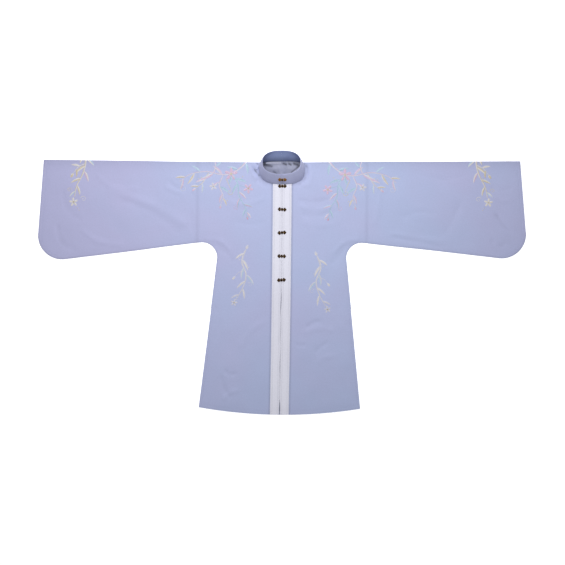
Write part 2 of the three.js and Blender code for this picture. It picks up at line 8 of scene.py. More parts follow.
import bpy
import numpy as np
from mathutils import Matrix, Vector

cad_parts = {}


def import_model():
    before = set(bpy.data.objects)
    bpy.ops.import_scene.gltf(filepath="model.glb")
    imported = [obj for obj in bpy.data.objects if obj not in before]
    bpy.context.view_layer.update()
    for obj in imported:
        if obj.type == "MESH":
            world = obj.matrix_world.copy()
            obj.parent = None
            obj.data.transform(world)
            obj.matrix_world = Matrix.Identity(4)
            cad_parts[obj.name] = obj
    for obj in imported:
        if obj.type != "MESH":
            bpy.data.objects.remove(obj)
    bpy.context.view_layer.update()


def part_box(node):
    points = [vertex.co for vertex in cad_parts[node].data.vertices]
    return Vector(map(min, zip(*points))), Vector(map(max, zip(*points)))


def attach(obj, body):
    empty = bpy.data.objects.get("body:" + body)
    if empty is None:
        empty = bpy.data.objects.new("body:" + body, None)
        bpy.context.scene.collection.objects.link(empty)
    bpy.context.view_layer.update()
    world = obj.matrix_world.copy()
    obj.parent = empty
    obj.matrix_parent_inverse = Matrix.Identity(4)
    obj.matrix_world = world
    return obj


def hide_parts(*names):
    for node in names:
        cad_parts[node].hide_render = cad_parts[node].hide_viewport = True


MM = 0.001
SIDES = {"left": 1, "right": -1}
ROOT = "root"

# Camera, straight above the jacket
FRAME_WIDTH = 2164
CAMERA_AT = (1.9, 3.0, 5200)
SENSOR = 36

# Body, sleeve and neck, as in the CAD model
FRONT_LENGTH = 966
SHOULDER_Y = 462.584
HEM_CORNER = (309, -940)
UNDERARM = (246.5, -306)
UNDERARM_RADIUS = 59
VENT_TOP_Y = -560
SLEEVE_SEAM = (325, -307.5)
SLEEVE_TOP_CORNER = (912, 7)
SLEEVE_CORNER_RADIUS = 92
CUFF_SPREAD = 0.0772
LOWER_EDGE_SLOPE = -0.119
NECK = {"half_width": 84.5, "centre_y": -38, "back": 44, "front": 46, "back_power": 5, "front_power": 2.4}
FRONT_GAP = 1.2
CENTRE_X = 1.5
LAY = {
    "hem_lean": -12,
    "lean_power": 1.5,
    "body_turn": -0.0104,
    "sleeve_shift": -1.5,
    "sleeve_top_rise": -3,
    "sleeve_bottom_rise": 2,
    "from_x": 325,
    "to_x": 600,
}

# Seams are all but closed here, and the sleeve reaches a little under the body panel's edge
SEAM_GAP = 0.02
SLEEVE_OVERLAP = 0.05

# Cloth, and how far the layers lie above the table
CLOTH = 0.8
BACK_Z = 0.4
FRONT_Z = 3.5
LOWEST_FRONT_Z = 2.1
LOWEST_SHARPNESS = 3
PRESSED_EDGE_Z = 2.2
EDGE_SOFTNESS = 9
FREE_EDGE_Z = 2.4
FREE_EDGE_PRESS = 0.9
SHARP_ANGLE = math.radians(55)
EDGE_ANGLES = (-45, 0, 45)
EDGE_ROUNDING = 0.9
EDGE_FLATNESS = 0.85
BACK_CREASES = {"shift": 37, "cap": 0.7, "share": 0.5}
NECK_LIFT = {"y": -20, "height": 2.7, "reach": 175}

# Collar, plackets and facing
COLLAR = {
    "thickness": 2.0,
    "height": 48,
    "inset": 0.9,
    "base_z": 2.8,
    "sewn": 4,
    "bulge": 2,
    "front_drop": 3.5,
}
COLLAR_CELLS = 150
COLLAR_SEWN_ROWS = (-1, -0.5)
COLLAR_RIM_ROWS = (0.93, 0.95, 0.965, 0.98, 0.99, 1)
RIM = {"half_width": 72, "centre_y": -3, "back": 46.2, "front": 44, "back_power": 2.5, "front_power": 2.4}
RIM_SHIFT = -3.5
RIM_Z = {"back": 30, "side": 46, "front": 40}
PLACKET = {"width": 36, "bottom": 0.3, "thickness": 1.1, "groove": 0.3}
PLACKET_SPAN = PLACKET["width"] - FRONT_GAP / 2
PLACKET_ROWS = (2.6, 7.4)
PLACKET_EDGE_STEPS = (0, 0.3, 0.9, 1.8, 2.6, 3.4, 4.6, 6.5, 7.4, 8.3, 10)
PLACKET_MIDDLE_STEPS = (13, 17.7, 22.4)
PLACKET_CELLS = 360
PLACKET_OVERHANG = 0.5
STITCH_DENT = 0.7
CLOSED_GAP = 0.25
HEM_OPENING = 1.7
FACING = {"reach_x": 118, "reach_y": -126, "side_share": 0.45, "bottom": 1.4, "thickness": 0.7, "slack": 2.9}
NECK_TAPE = {
    "from_x": 5,
    "to_x": 63,
    "from_y": -5.5,
    "to_y": 1.5,
    "sag": 1.2,
    "lift": 0.35,
    "thickness": 0.4,
    # shade: painted shade over the whole tape, which lies under the collar's back
    "shade": 0.4,
}

# Columns and rows of the body panel's coarse outline grid, as in the CAD model
PLACKET_COLUMNS = 2
NECK_COLUMNS = 6
SHOULDER_COLUMNS = 5
NECK_ROWS = 3
NECK_SIDE_ANGLES = (29, 15.5, 0)
BACK_NECK_SIDE_X = 64
ARMHOLE_ROWS = 9
UNDERARM_ROWS = 2
SKIRT_ROWS = 16
NECK_SIDE_COLUMN = PLACKET_COLUMNS + NECK_COLUMNS
BODY_COLUMNS = NECK_SIDE_COLUMN + SHOULDER_COLUMNS
SLEEVE_SECTIONS = 13
CORNER_SECTIONS = 6
SLEEVE_ROWS = 9

# Fine cells for each coarse column and row, closer together where the cloth is creased
BODY_COLUMN_CELLS = [4, 4, 10, 6, 5, 5, 5, 5, 16, 9, 7, 6, 6, 4, 4, 7]
BODY_ROW_CELLS = [9] * NECK_ROWS + [11, 9, 7, 6, 6, 6] + [4] * UNDERARM_ROWS + [6] * (SKIRT_ROWS - 1) + [12]
SLEEVE_COLUMN_CELLS = [14] + [7] * (SLEEVE_SECTIONS - 1) + [6] * (CORNER_SECTIONS - 1) + [12]
SLEEVE_ROW_CELLS = [6] * SLEEVE_ROWS

# Broad folds of the front layer, as in the CAD model: from, to, half width and height
BROAD_FOLDS = [
    (112, -20, 250, -290, 34, 1.0),
    (-110, -30, -235, -280, 32, 1.1),
    (60, -400, 150, -840, 40, 1.4),
    (-80, -470, -190, -900, 42, 1.3),
    (225, -420, 262, -760, 36, 1.2),
    (-215, -380, -240, -640, 34, 1.0),
    (330, -60, 560, -210, 40, 1.2),
    (620, -110, 860, -260, 44, 1.5),
    (-300, -90, -520, -170, 40, 1.3),
    (-560, -230, -800, -90, 44, 1.4),
]

CREASE_STRENGTH = 2.3
CREASE_WAVER = 0.2
WAVER_RATE = 9
CALM_WIDTH = 46

# Small creases left by the iron: from x, y, through x, y, to x, y, half width and height.
# Left is positive x. A negative height is a trough.
CREASES = [
    (-80, -2, -90, -12, -97, -25, 3.6, 2.6),
    (-101, 2, -97, -5, -90, -12, 3.6, -2.0),
    (-111, -18, -102, -34, -89, -50, 4.2, -2.3),
    (-122, -16, -116, -40, -100, -64, 6, 1.2),
    (-96, -60, -84, -76, -66, -88, 6, -0.9),
    (86, -62, 78, -78, 62, -90, 6, -0.9),
    (94, -44, 96, -30, 92, -14, 5, -0.9),
    (92, -12, 96, -36, 88, -64, 7, -1.0),
    (108, -18, 110, -50, 96, -86, 11, 0.8),
    (-430, -76, -412, -92, -388, -102, 7, -0.8),
    (-440, -96, -415, -108, -385, -120, 8, 0.6),
    (-655, -109, -520, -150, -379, -228, 17, 0.9),
    (-610, -148, -500, -190, -400, -262, 13, -0.6),
    (-860, -247, -845, -300, -800, -330, 9, -0.7),
    (-838, -120, -820, -180, -780, -214, 10, -0.6),
    (-700, -60, -640, -96, -560, -98, 10, 0.6),
    (-760, -262, -700, -300, -620, -312, 10, 0.7),
    (-345, -120, -352, -180, -342, -262, 8, -0.5),
    (803, -300, 826, -322, 850, -318, 7, -0.9),
    (822, -201, 842, -236, 874, -266, 8, -0.9),
    (806, -92, 842, -104, 872, -100, 8, -0.7),
    (800, -128, 838, -142, 880, -146, 8, 0.7),
    (680, -153, 660, -210, 624, -266, 12, -0.6),
    (431, -286, 500, -302, 600, -322, 6, -0.7),
    (420, -272, 500, -284, 620, -306, 8, 0.6),
    (352, -60, 372, -130, 356, -230, 9, 0.5),
    (520, -40, 600, -62, 690, -52, 10, -0.5),
    (470, -210, 520, -190, 580, -196, 9, -0.5),
    (69, -144, 120, -150, 184, -138, 8, -0.7),
    (74, -168, 130, -180, 200, -170, 8, 0.7),
    (80, -200, 130, -206, 176, -196, 7, -0.7),
    (90, -232, 150, -240, 214, -228, 9, 0.5),
    (102, -628, 128, -612, 152, -608, 7, -0.9),
    (96, -648, 140, -634, 190, -640, 10, 0.6),
    (60, -694, 72, -700, 92, -698, 6, -0.9),
    (138, -722, 156, -704, 178, -690, 7, -0.8),
    (150, -760, 170, -744, 210, -738, 9, 0.6),
    (214, -560, 232, -600, 260, -622, 10, -0.6),
    (-209, -800, -196, -812, -170, -812, 7, -0.8),
    (-224, -830, -212, -868, -192, -896, 9, -0.7),
    (-213, -905, -190, -884, -160, -874, 8, 0.7),
    (-80, -140, -140, -160, -200, -150, 9, 0.6),
    (-70, -230, -120, -238, -170, -226, 8, -0.6),
    (-250, -560, -236, -610, -246, -680, 9, -0.6),
    (-60, -610, -110, -640, -150, -700, 11, 0.6),
    (-262, -318, -230, -330, -190, -372, 10, -0.8),
    (262, -318, 232, -334, 196, -380, 10, -0.8),
    (-282, -296, -240, -300, -200, -330, 9, 0.7),
    (282, -296, 240, -304, 204, -340, 9, 0.7),
]

# Creases of the neck facing: from x, y to x, y, half width, and height as a share of its slack
FACING_CREASES = [
    (36, -38, 69, -10, 3.2, -1.3),
    (40, -43, 74, -14, 3.6, 1.2),
    (4, -5, 15, -9, 4, -1.2),
    (19, -4, 20, -15, 2.6, 1.0),
    (25, -6, 33, -10, 3.6, -1.1),
    (38, -3, 39, -14, 2.6, 1.0),
    (44, -5, 58, -10, 4.4, -1.3),
    (22, -24, 46, -20, 7, 0.7),
    (-68, -8, -42, -16, 5.5, -1.3),
    (-60, -27, -24, -24, 7, 0.8),
    (-16, -16, -5, -46, 4.5, 1.0),
    (-34, -34, -24, -44, 4.5, -0.8),
]

# Slow unevenness of laid cloth: wave direction in degrees, wavelength, height and phase
UNEVENNESS = [
    (12, 210, 0.32, 0.4),
    (71, 160, 0.26, 1.9),
    (128, 118, 0.2, 3.1),
    (155, 83, 0.13, 5.2),
    (38, 61, 0.09, 2.2),
    (97, 47, 0.06, 0.9),
]

# Where the clasps are down the plackets, how far each one turns in degrees, and their sizes
CLASP_YS = [-91, -180, -269, -359, -450]
CLASP_TURNS = [0, 1, -4, 5, -2, 4]
CLASP = {
    "plate": 1.7,
    "lobe": 3.8,
    "ring": 5.1,
    "ring_tube": 0.85,
    "stem": 2.4,
    "dome": 4.1,
    "arm_z": 2.5,
    "arm_width": 2.8,
}
TREFOIL_LOBES = [(9.7, 3.6), (9.7, -3.6), (13.0, 0)]

# Profiles of a plate, in shares of its radius and thickness, and of the bead between a trefoil's plates
DISH_PROFILE = [
    (0, 0), (0.96, 0), (1, 0.35), (0.97, 0.8), (0.86, 1),
    (0.72, 0.8), (0.56, 0.62), (0.4, 0.75), (0.24, 1.05), (0, 1.15),
]
TREFOIL_HEART = [(0, 0.4), (1.5, 0.4), (1.7, 1.2), (1.3, 1.9), (0.7, 2.2), (0, 2.3)]

# Stitches
STITCH = {"pitch": 4.2, "length": 3.0, "radius": 0.28}
HEM_DEPTH = 14
VENT_HEM = 10

# Soft ridges and troughs: height or depth, where the middle is, and half width
UNDER_COLLAR_LIFT = (2, 0, 130)
NECK_TROUGH = (1.2, 6, 7)
HEM_TROUGH = (0.25, HEM_DEPTH, 2.2)
SEAM_TROUGH = (0.55, SLEEVE_SEAM[0], 8)
PLACKET_TROUGH = (0.9, PLACKET["width"] + 2.5, 2.6)
PLACKET_OPENINGS = [(0.9, -535, 42), (0.3, -640, 30), (0.6, -780, 36)]
COLLAR_SLUMP = (5, -28, 34)
RIM_STITCH_DENT = (0.13, 3, 0.8)
FACING_SEAM = (0.4, 0, 2.6)

# Painted shade, where the cloth's colour is made darker in hollows, beside seams and by folds and edges:
# strength, where the middle is, and half width. FACING_SEAM_LIGHT is painted light.
NECK_SHADE = (0.22, 2, 9)
SEAM_SHADE = (0.15, SLEEVE_SEAM[0], 7)
PLACKET_SHADE = (0.42, PLACKET["width"] + 2.5, 3.6)
SHOULDER_SHADE = (0.2, 0, 26)
EDGE_SHADE = (0.15, 0, 5)
CENTRE_SEAM_SHADE = (1.2, 0, 10)
LINING_SHADE = (1, 0, 16)
COLLAR_FOOT_SHADE = (0.1, 0, 9)
FACING_SIDE_SHADE = (0.25, 66, 12)
FACING_NAPE_SHADE = (0.45, -3, 9)
FACING_SEAM_LIGHT = (0.22, 0, 9)

# Painted shade as plain strengths: at the edges' turn, and on the placket from the neck down to the hem,
# where it turns to painted light
EDGE_RING_SHADE = 0.35
PLACKET_SHADES = (0.13, -0.05)

# Depth of the crease with the darkest painted shade, and the painted light on a crest as a share of that
# darkness
DARKEST_CREASE = 5
CREST_LIGHT = 0.25


def lerp(a, b, share):
    return a + (b - a) * share


def smoothstep(value, low, high):
    share = np.clip((np.asarray(value, float) - low) / (high - low), 0, 1)
    return share * share * (3 - 2 * share)


def bell(distance, width):
    return np.exp(-((distance / width) ** 2))


def ridge(shape, at):
    """Height of a soft ridge. shape lists its full height, where its middle is and its half width."""
    height, middle, half_width = shape
    return height * bell(at - middle, half_width)


def place(side, x, y, z):
    """Points of the plan in the CAD model's frame, in metres."""
    x, y, z = np.broadcast_arrays(np.asarray(x, float), np.asarray(y, float), np.asarray(z, float))
    is_sleeve = smoothstep(x, LAY["from_x"], LAY["to_x"])
    down = np.maximum(-y / FRONT_LENGTH, 0)
    shift = lerp(LAY["hem_lean"] * down ** LAY["lean_power"], LAY["sleeve_shift"], is_sleeve)
    sleeve_down = np.minimum(down * FRONT_LENGTH / -SLEEVE_SEAM[1], 1)
    cuff_rise = lerp(LAY["sleeve_top_rise"], LAY["sleeve_bottom_rise"], sleeve_down)
    rise = lerp(LAY["body_turn"] * x * down, cuff_rise * x / SLEEVE_TOP_CORNER[0], is_sleeve)
    return np.stack([side * x + shift + CENTRE_X, y + side * rise + SHOULDER_Y, z], axis=-1) * MM


def oval(shape, angle):
    """Points of half a flattened oval. Angle 90 is its back end, 0 its side and -90 its front end."""
    angle = np.asarray(angle, float)
    power = np.where(angle > 0, shape["back_power"], shape["front_power"])
    depth = np.where(angle > 0, shape["back"], -shape["front"])
    angle = np.radians(angle)
    x = shape["half_width"] * np.abs(np.cos(angle)) ** (2 / power)
    return x, shape["centre_y"] + depth * np.abs(np.sin(angle)) ** (2 / power)


NECK_POINT_ANGLE = math.degrees(math.asin((-NECK["centre_y"] / NECK["back"]) ** (NECK["back_power"] / 2)))
NECK_POINT_X = float(oval(NECK, NECK_POINT_ANGLE)[0])


def neck_edge_y(x, depth, power):
    share = np.minimum(x / NECK["half_width"], 1) ** power
    return NECK["centre_y"] + depth * (1 - share) ** (1 / power)


def front_neck_y(x):
    return neck_edge_y(x, -NECK["front"], NECK["front_power"])


def back_neck_y(x):
    return neck_edge_y(x, NECK["back"], NECK["back_power"])


def shoulder_y(x):
    return SLEEVE_TOP_CORNER[1] * (x - NECK_POINT_X) / (SLEEVE_TOP_CORNER[0] - NECK_POINT_X)


def hem_y(x):
    return -FRONT_LENGTH + (FRONT_LENGTH + HEM_CORNER[1]) * (x / HEM_CORNER[0]) ** 2


def underarm_point(angle):
    """Angle 90 is where the underarm curve meets the sleeve's lower edge, and 0 where it meets the side."""
    angle = np.radians(angle)
    x = UNDERARM[0] + UNDERARM_RADIUS * (1 - np.cos(angle))
    return x, UNDERARM[1] - UNDERARM_RADIUS * (1 - np.sin(angle))


def side_x(y):
    top = UNDERARM[1] - UNDERARM_RADIUS
    return lerp(UNDERARM[0], HEM_CORNER[0], (top - y) / (top - HEM_CORNER[1]))


def sleeve_corner():
    """The fillet between the sleeve's lower edge and its cuff: its start, centre, first angle and sweep."""
    along = np.array([1, LOWER_EDGE_SLOPE]) / math.hypot(1, LOWER_EDGE_SLOPE)
    up_cuff = np.array([-CUFF_SPREAD, 1]) / math.hypot(CUFF_SPREAD, 1)
    rise = SLEEVE_TOP_CORNER[1] - SLEEVE_SEAM[1]
    reach = SLEEVE_TOP_CORNER[0] - SLEEVE_SEAM[0]
    x = (reach + CUFF_SPREAD * rise) / (1 + CUFF_SPREAD * LOWER_EDGE_SLOPE)
    tip = np.array([SLEEVE_SEAM[0] + x, SLEEVE_SEAM[1] + LOWER_EDGE_SLOPE * x])
    sweep = math.acos(float(along @ up_cuff))
    start = tip - along * SLEEVE_CORNER_RADIUS * math.tan(sweep / 2)
    centre = start + np.array([-along[1], along[0]]) * SLEEVE_CORNER_RADIUS
    return start, centre, math.atan2(along[1], along[0]) - math.pi / 2, sweep


CORNER_START, CORNER_CENTRE, CORNER_ANGLE, CORNER_SWEEP = sleeve_corner()


def corner_point(share, inset=0):
    angle = CORNER_ANGLE + CORNER_SWEEP * np.asarray(share, float)
    radius = SLEEVE_CORNER_RADIUS - inset
    return CORNER_CENTRE[0] + radius * np.cos(angle), CORNER_CENTRE[1] + radius * np.sin(angle)


# Heights of the cloth


def distance_to_line(x, y, points):
    """Least distance from each x, y to the line through points."""
    best = np.full(np.shape(x), np.inf)
    for (ax, ay), (bx, by) in zip(points[:-1], points[1:]):
        run = (bx - ax, by - ay)
        along = np.clip(((x - ax) * run[0] + (y - ay) * run[1]) / (run[0] ** 2 + run[1] ** 2), 0, 1)
        best = np.minimum(best, np.hypot(x - ax - along * run[0], y - ay - along * run[1]))
    return best


def distance_to_lines(x, y, lines):
    return np.min([distance_to_line(x, y, line) for line in lines], axis=0)


def bent_line(from_x, from_y, through_x, through_y, to_x, to_y, count=9):
    t = np.linspace(0, 1, count)[:, None]
    start, end = np.array([from_x, from_y]), np.array([to_x, to_y])
    control = 2 * np.array([through_x, through_y]) - (start + end) / 2
    return (1 - t) ** 2 * start + 2 * t * (1 - t) * control + t**2 * end


def broad_lift(side, x, y):
    folds = [
        height * bell(distance_to_line(side * x, y, [(ax, ay), (bx, by)]), width)
        for ax, ay, bx, by, width, height in BROAD_FOLDS
    ]
    neck = NECK_LIFT["height"] * bell(np.hypot(x, y - NECK_LIFT["y"]), NECK_LIFT["reach"])
    return neck + np.max(folds, axis=0)


def crease_height(across, y):
    """Small creases and slow unevenness at signed x, which fade out towards the plackets."""
    total = np.zeros(np.shape(across))
    for *line, width, height in CREASES:
        run_x, run_y = line[4] - line[0], line[5] - line[1]
        share = ((across - line[0]) * run_x + (y - line[1]) * run_y) / (run_x**2 + run_y**2)
        waver = 1 - CREASE_WAVER + CREASE_WAVER * np.sin(share * WAVER_RATE + width)
        distance = distance_to_line(across, y, bent_line(*line))
        total += CREASE_STRENGTH * height * waver * bell(distance, width)
    for angle, wavelength, height, phase in UNEVENNESS:
        angle = math.radians(angle)
        along = across * math.cos(angle) + y * math.sin(angle)
        total += height * np.sin(2 * math.pi * along / wavelength + phase)
    return total * (1 - bell(across, CALM_WIDTH))


def seam_and_fold_lines():
    """Lines along which the two layers are joined: shoulder and sleeve top, sleeve bottom and side seam."""
    top = [(NECK_POINT_X, 0), SLEEVE_TOP_CORNER]
    side = [(side_x(VENT_TOP_Y), VENT_TOP_Y)]
    arc = [underarm_point(angle) for angle in range(0, 91, 15)]
    corner = [corner_point(share) for share in np.linspace(0, 1, 9)]
    return top, side + arc + [SLEEVE_SEAM] + corner


JOINED_LINES = seam_and_fold_lines()
NECK_EDGE = [tuple(float(v) for v in oval(NECK, angle)) for angle in range(40, -91, -5)]
FREE_EDGES = [
    [(x, hem_y(x)) for x in np.linspace(0, HEM_CORNER[0], 10)] + [(side_x(VENT_TOP_Y), VENT_TOP_Y)],
    [SLEEVE_TOP_CORNER, corner_point(1)],
]


def pressed(distance, softness):
    """Share of the iron's press that is left at a distance from an edge."""
    return np.exp(-((distance / softness) ** 1.2))


def front_z(side, x, y):
    """Height of the front layer's outer face. It comes down to the back layer at seams, folds and edges."""
    x, y = np.asarray(x, float), np.asarray(y, float)
    height = FRONT_Z + broad_lift(side, x, y) + crease_height(side * x, y)
    height -= ridge(NECK_TROUGH, distance_to_line(x, y, NECK_EDGE))
    above = height - LOWEST_FRONT_Z - ridge(UNDER_COLLAR_LIFT, np.hypot(x, y - NECK["centre_y"]))
    height += np.logaddexp(0, LOWEST_SHARPNESS * above) / LOWEST_SHARPNESS - above
    height = lerp(height, PRESSED_EDGE_Z, pressed(distance_to_lines(x, y, JOINED_LINES), EDGE_SOFTNESS))
    free = distance_to_lines(x, y, FREE_EDGES)
    height = lerp(height, FREE_EDGE_Z, FREE_EDGE_PRESS * pressed(free, 2 * EDGE_SOFTNESS))
    return height - ridge(HEM_TROUGH, free) - ridge(SEAM_TROUGH, x) - ridge(PLACKET_TROUGH, x)


def front_painted_shading(side, x, y):
    """Painted shade on the front layer where it lies deep in a fold, beside the placket and the sleeve seam,
    round the neck, by the shoulder fold and at its edges, and painted light on its crests.
    """
    depth = -crease_height(side * x, y) / DARKEST_CREASE
    creases = np.clip(depth, 0, 1) ** 3 - CREST_LIGHT * np.clip(-depth, 0, 1) ** 2
    beside = ridge(PLACKET_SHADE, x) + ridge(SEAM_SHADE, x)
    round_neck = ridge(NECK_SHADE, distance_to_line(x, y, NECK_EDGE))
    shoulder = ridge(SHOULDER_SHADE, distance_to_line(x, y, JOINED_LINES[0]))
    edge = ridge(EDGE_SHADE, distance_to_lines(x, y, (*JOINED_LINES, *FREE_EDGES)))
    return creases + beside + round_neck + shoulder + edge


def back_z(side, x, y):
    """Height of the back layer's outer face, which lies on the table with a few creases standing off it."""
    creases = np.clip(crease_height(-side * x, y - BACK_CREASES["shift"]), 0, BACK_CREASES["cap"])
    calm = smoothstep(np.abs(x - SLEEVE_SEAM[0]), 0, 20) * smoothstep(x, 40, 80)
    return BACK_Z + BACK_CREASES["share"] * creases * calm


# Meshes


def spread(counts):
    """Grid lines over a coarse grid, with a number of cells for each of its steps."""
    lines = [0.0]
    for step, count in enumerate(counts):
        lines.extend(step + np.arange(1, count + 1) / count)
    return np.array(lines)


def new_object(name, vertices, faces, uvs=None, painted_shading=None, smooth=True):
    mesh = bpy.data.meshes.new(name)
    mesh.from_pydata(np.asarray(vertices).tolist(), [], faces)
    if uvs is not None:
        layer = mesh.uv_layers.new(name="UVMap")
        corner_vertices = np.zeros(len(mesh.loops), dtype=np.int32)
        mesh.loops.foreach_get("vertex_index", corner_vertices)
        layer.data.foreach_set("uv", np.asarray(uvs, float)[corner_vertices].ravel())
    if painted_shading is not None:
        # painted_shading darkens the colour as painted shade where it is positive, and lightens it as
        # painted light where it is negative
        mesh.attributes.new("painted_shading", "FLOAT", "POINT").data.foreach_set("value", np.ravel(painted_shading))
    mesh.validate()
    if smooth:
        mesh.shade_smooth()
        mesh.set_sharp_from_angle(angle=SHARP_ANGLE)
    obj = bpy.data.objects.new(name, mesh)
    bpy.context.collection.objects.link(obj)
    return obj


def grid_faces(number):
    """Quads between the neighbouring points of a grid of vertex numbers."""
    corners = [number[:-1, :-1], number[1:, :-1], number[1:, 1:], number[:-1, 1:]]
    return np.stack(corners, axis=-1).reshape(-1, 4).tolist()


def spindle_faces(rings, segments):
    """Faces of a closed form of rings of vertices between two end points, the first and the last vertex."""
    number = 1 + np.arange(rings * segments).reshape(rings, segments)
    number = np.pad(number, ((0, 0), (0, 1)), mode="wrap")
    first, last = number[0].tolist(), number[-1].tolist()
    ends = [[0, b, a] for a, b in zip(first[:-1], first[1:])]
    ends += [[a, b, rings * segments + 1] for a, b in zip(last[:-1], last[1:])]
    return ends + grid_faces(number.T)


def distance_along(points):
    """How far each point of a line is from its start."""
    steps = np.linalg.norm(np.diff(points, axis=0), axis=-1)
    return np.concatenate([[0], np.cumsum(steps)])


def sampled(values, travelled, at):
    """Rows of values at other distances along their line."""
    return np.stack([np.interp(at, travelled, column) for column in values.T], axis=-1)


def unit(vectors, least=1e-12):
    return vectors / np.maximum(np.linalg.norm(vectors, axis=-1, keepdims=True), least)


def surface_normals(grid):
    return unit(np.cross(np.gradient(grid, axis=0), np.gradient(grid, axis=1)))


def wear(obj, materials, replaced=None, chosen=None):
    """Gives a piece its materials, hides the CAD solid that it replaces and lets it ride with the jacket.
    chosen lists each face's material by number."""
    for material in materials:
        obj.data.materials.append(material)
    if chosen is not None:
        obj.data.polygons.foreach_set("material_index", chosen)
    if replaced:
        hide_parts(replaced)
    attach(obj, ROOT)
    return obj


def cell_corners(i, j):
    return (i, j), (i, j + 1), (i + 1, j + 1), (i + 1, j)


def sewn_edge_directions(plan, boundary, is_joined):
    """Outward direction in the plan at each grid point of a sewn or folded edge, and zero elsewhere."""
    outward = np.zeros(plan.shape)
    for (a, b), fused in zip(boundary, is_joined):
        if fused:
            run = unit(plan[b] - plan[a])
            outward[a] += (run[1], -run[0])
            outward[b] += (run[1], -run[0])
    return unit(outward)


def folded_shell(name, side, held, front_xy, back_xy, joined):
    """Two layers of cloth over one grid. held says which cells the cut holds, front_xy and back_xy give the
    plan place of each grid point, and joined(a, b) whether a boundary edge joins the layers."""
    columns, rows = held.shape
    number = np.arange((columns + 1) * (rows + 1)).reshape(columns + 1, rows + 1)
    padded = np.pad(held, 1)
    cells = np.argwhere(held)
    boundary = []
    for i, j in cells:
        corners = cell_corners(i, j)
        neighbours = (padded[i, j + 1], padded[i + 1, j + 2], padded[i + 2, j + 1], padded[i + 1, j])
        for n, neighbour in enumerate(neighbours):
            if not neighbour:
                boundary.append((corners[n], corners[(n + 1) % 4]))
    is_joined = [joined(a, b) for a, b in boundary]

    front = np.stack(front_xy, axis=-1)
    back = np.stack(back_xy, axis=-1)
    outward = sewn_edge_directions(front, boundary, is_joined)
    top = front_z(side, *front_xy)
    bottom = back_z(side, *back_xy)
    middle, half = (top + bottom) / 2, (top - bottom) / 2
    # Painted shading: painted shade and light on the front face, painted shade on the back's inside where it
    # shows through the gap between the plackets, and painted shade at the edges' turn
    layers = [
        (front, top, front_painted_shading(side, *front_xy)),
        (front - CLOTH * outward, top - CLOTH, 0),
        (back - CLOTH * outward, bottom + CLOTH, ridge(CENTRE_SEAM_SHADE, back_xy[0])),
        (back, bottom, 0),
    ]
    for angle in np.radians(EDGE_ANGLES):
        bulge = EDGE_ROUNDING * math.cos(angle) * outward
        layers.append((front + bulge, middle + EDGE_FLATNESS * half * math.sin(angle), EDGE_RING_SHADE))
    points = np.concatenate([place(side, p[..., 0], p[..., 1], z).reshape(-1, 3) for p, z, _ in layers])
    uvs = np.concatenate([p.reshape(-1, 2) * MM for p, _, _ in layers])
    painted_shading = np.concatenate([np.broadcast_to(shade, top.shape).ravel() for _, _, shade in layers])
    front_outer, front_inner, back_inner, back_outer, *edge_rings = range(len(layers))
    faces = []

    def face(*corners):
        corners = [int(layer * number.size + number[node]) for layer, node in corners]
        faces.append(corners if side > 0 else corners[::-1])

    for i, j in cells:
        ring = cell_corners(i, j)
        for layer, order in ((front_outer, 1), (front_inner, -1), (back_inner, 1), (back_outer, -1)):
            face(*((layer, node) for node in ring[::order]))
    next_edge = {a: fused for (a, _), fused in zip(boundary, is_joined)}
    for (a, b), fused in zip(boundary, is_joined):
        if fused:
            rings = [back_outer, *edge_rings, front_outer]
            for low, high in zip(rings[:-1], rings[1:]):
                face((low, a), (low, b), (high, b), (high, a))
            face((back_inner, b), (back_inner, a), (front_inner, a), (front_inner, b))
        else:
            face((front_inner, a), (front_inner, b), (front_outer, b), (front_outer, a))
            face((back_outer, a), (back_outer, b), (back_inner, b), (back_inner, a))
        if fused != next_edge[b]:
            closing = [back_outer, back_inner, front_inner, front_outer, *edge_rings[::-1]]
            face(*((layer, b) for layer in (closing if fused else closing[::-1])))

    used = np.unique(np.concatenate(faces))
    renumber = np.full(len(points), -1)
    renumber[used] = np.arange(len(used))
    faces = [renumber[corners].tolist() for corners in faces]
    return new_object(name, points[used], faces, uvs[used], painted_shading[used])


def thick_sheet(name, middle, half_thickness, plan, painted_shading=0.0):
    """A closed sheet over a grid of points on its middle surface, with plan as its uv in millimetres.
    half_thickness may differ at each point, and painted_shading, which paints shade and light into the
    colour, on each of the two faces."""
    columns, rows = middle.shape[:2]
    offset = surface_normals(middle) * np.broadcast_to(half_thickness, (columns, rows))[..., None] * MM
    points = np.concatenate([(middle + offset).reshape(-1, 3), (middle - offset).reshape(-1, 3)])
    outer = np.arange(columns * rows).reshape(columns, rows)
    rim = np.concatenate([outer[:-1, 0], outer[-1, :-1], outer[:0:-1, -1], outer[0, :0:-1]])
    ahead = np.roll(rim, -1)
    faces = grid_faces(outer)
    faces += [corners[::-1] for corners in grid_faces(outer + outer.size)]
    faces += np.stack([rim + outer.size, ahead + outer.size, ahead, rim], axis=-1).tolist()
    uvs = np.tile(np.stack(plan, axis=-1).reshape(-1, 2) * MM, (2, 1))
    return new_object(name, points, faces, uvs, np.broadcast_to(painted_shading, (2, columns, rows)))


# Body panels


def stub_lower(f):
    """Lower end of the grid lines of the panel's short sleeve stub."""
    past = f - BODY_COLUMNS
    arc_x, arc_y = underarm_point(45 + 22.5 * np.clip(past, 0, 2))
    share = np.clip(past - 2, 0, 1)
    return lerp(arc_x, SLEEVE_SEAM[0], share), lerp(arc_y, SLEEVE_SEAM[1], share)


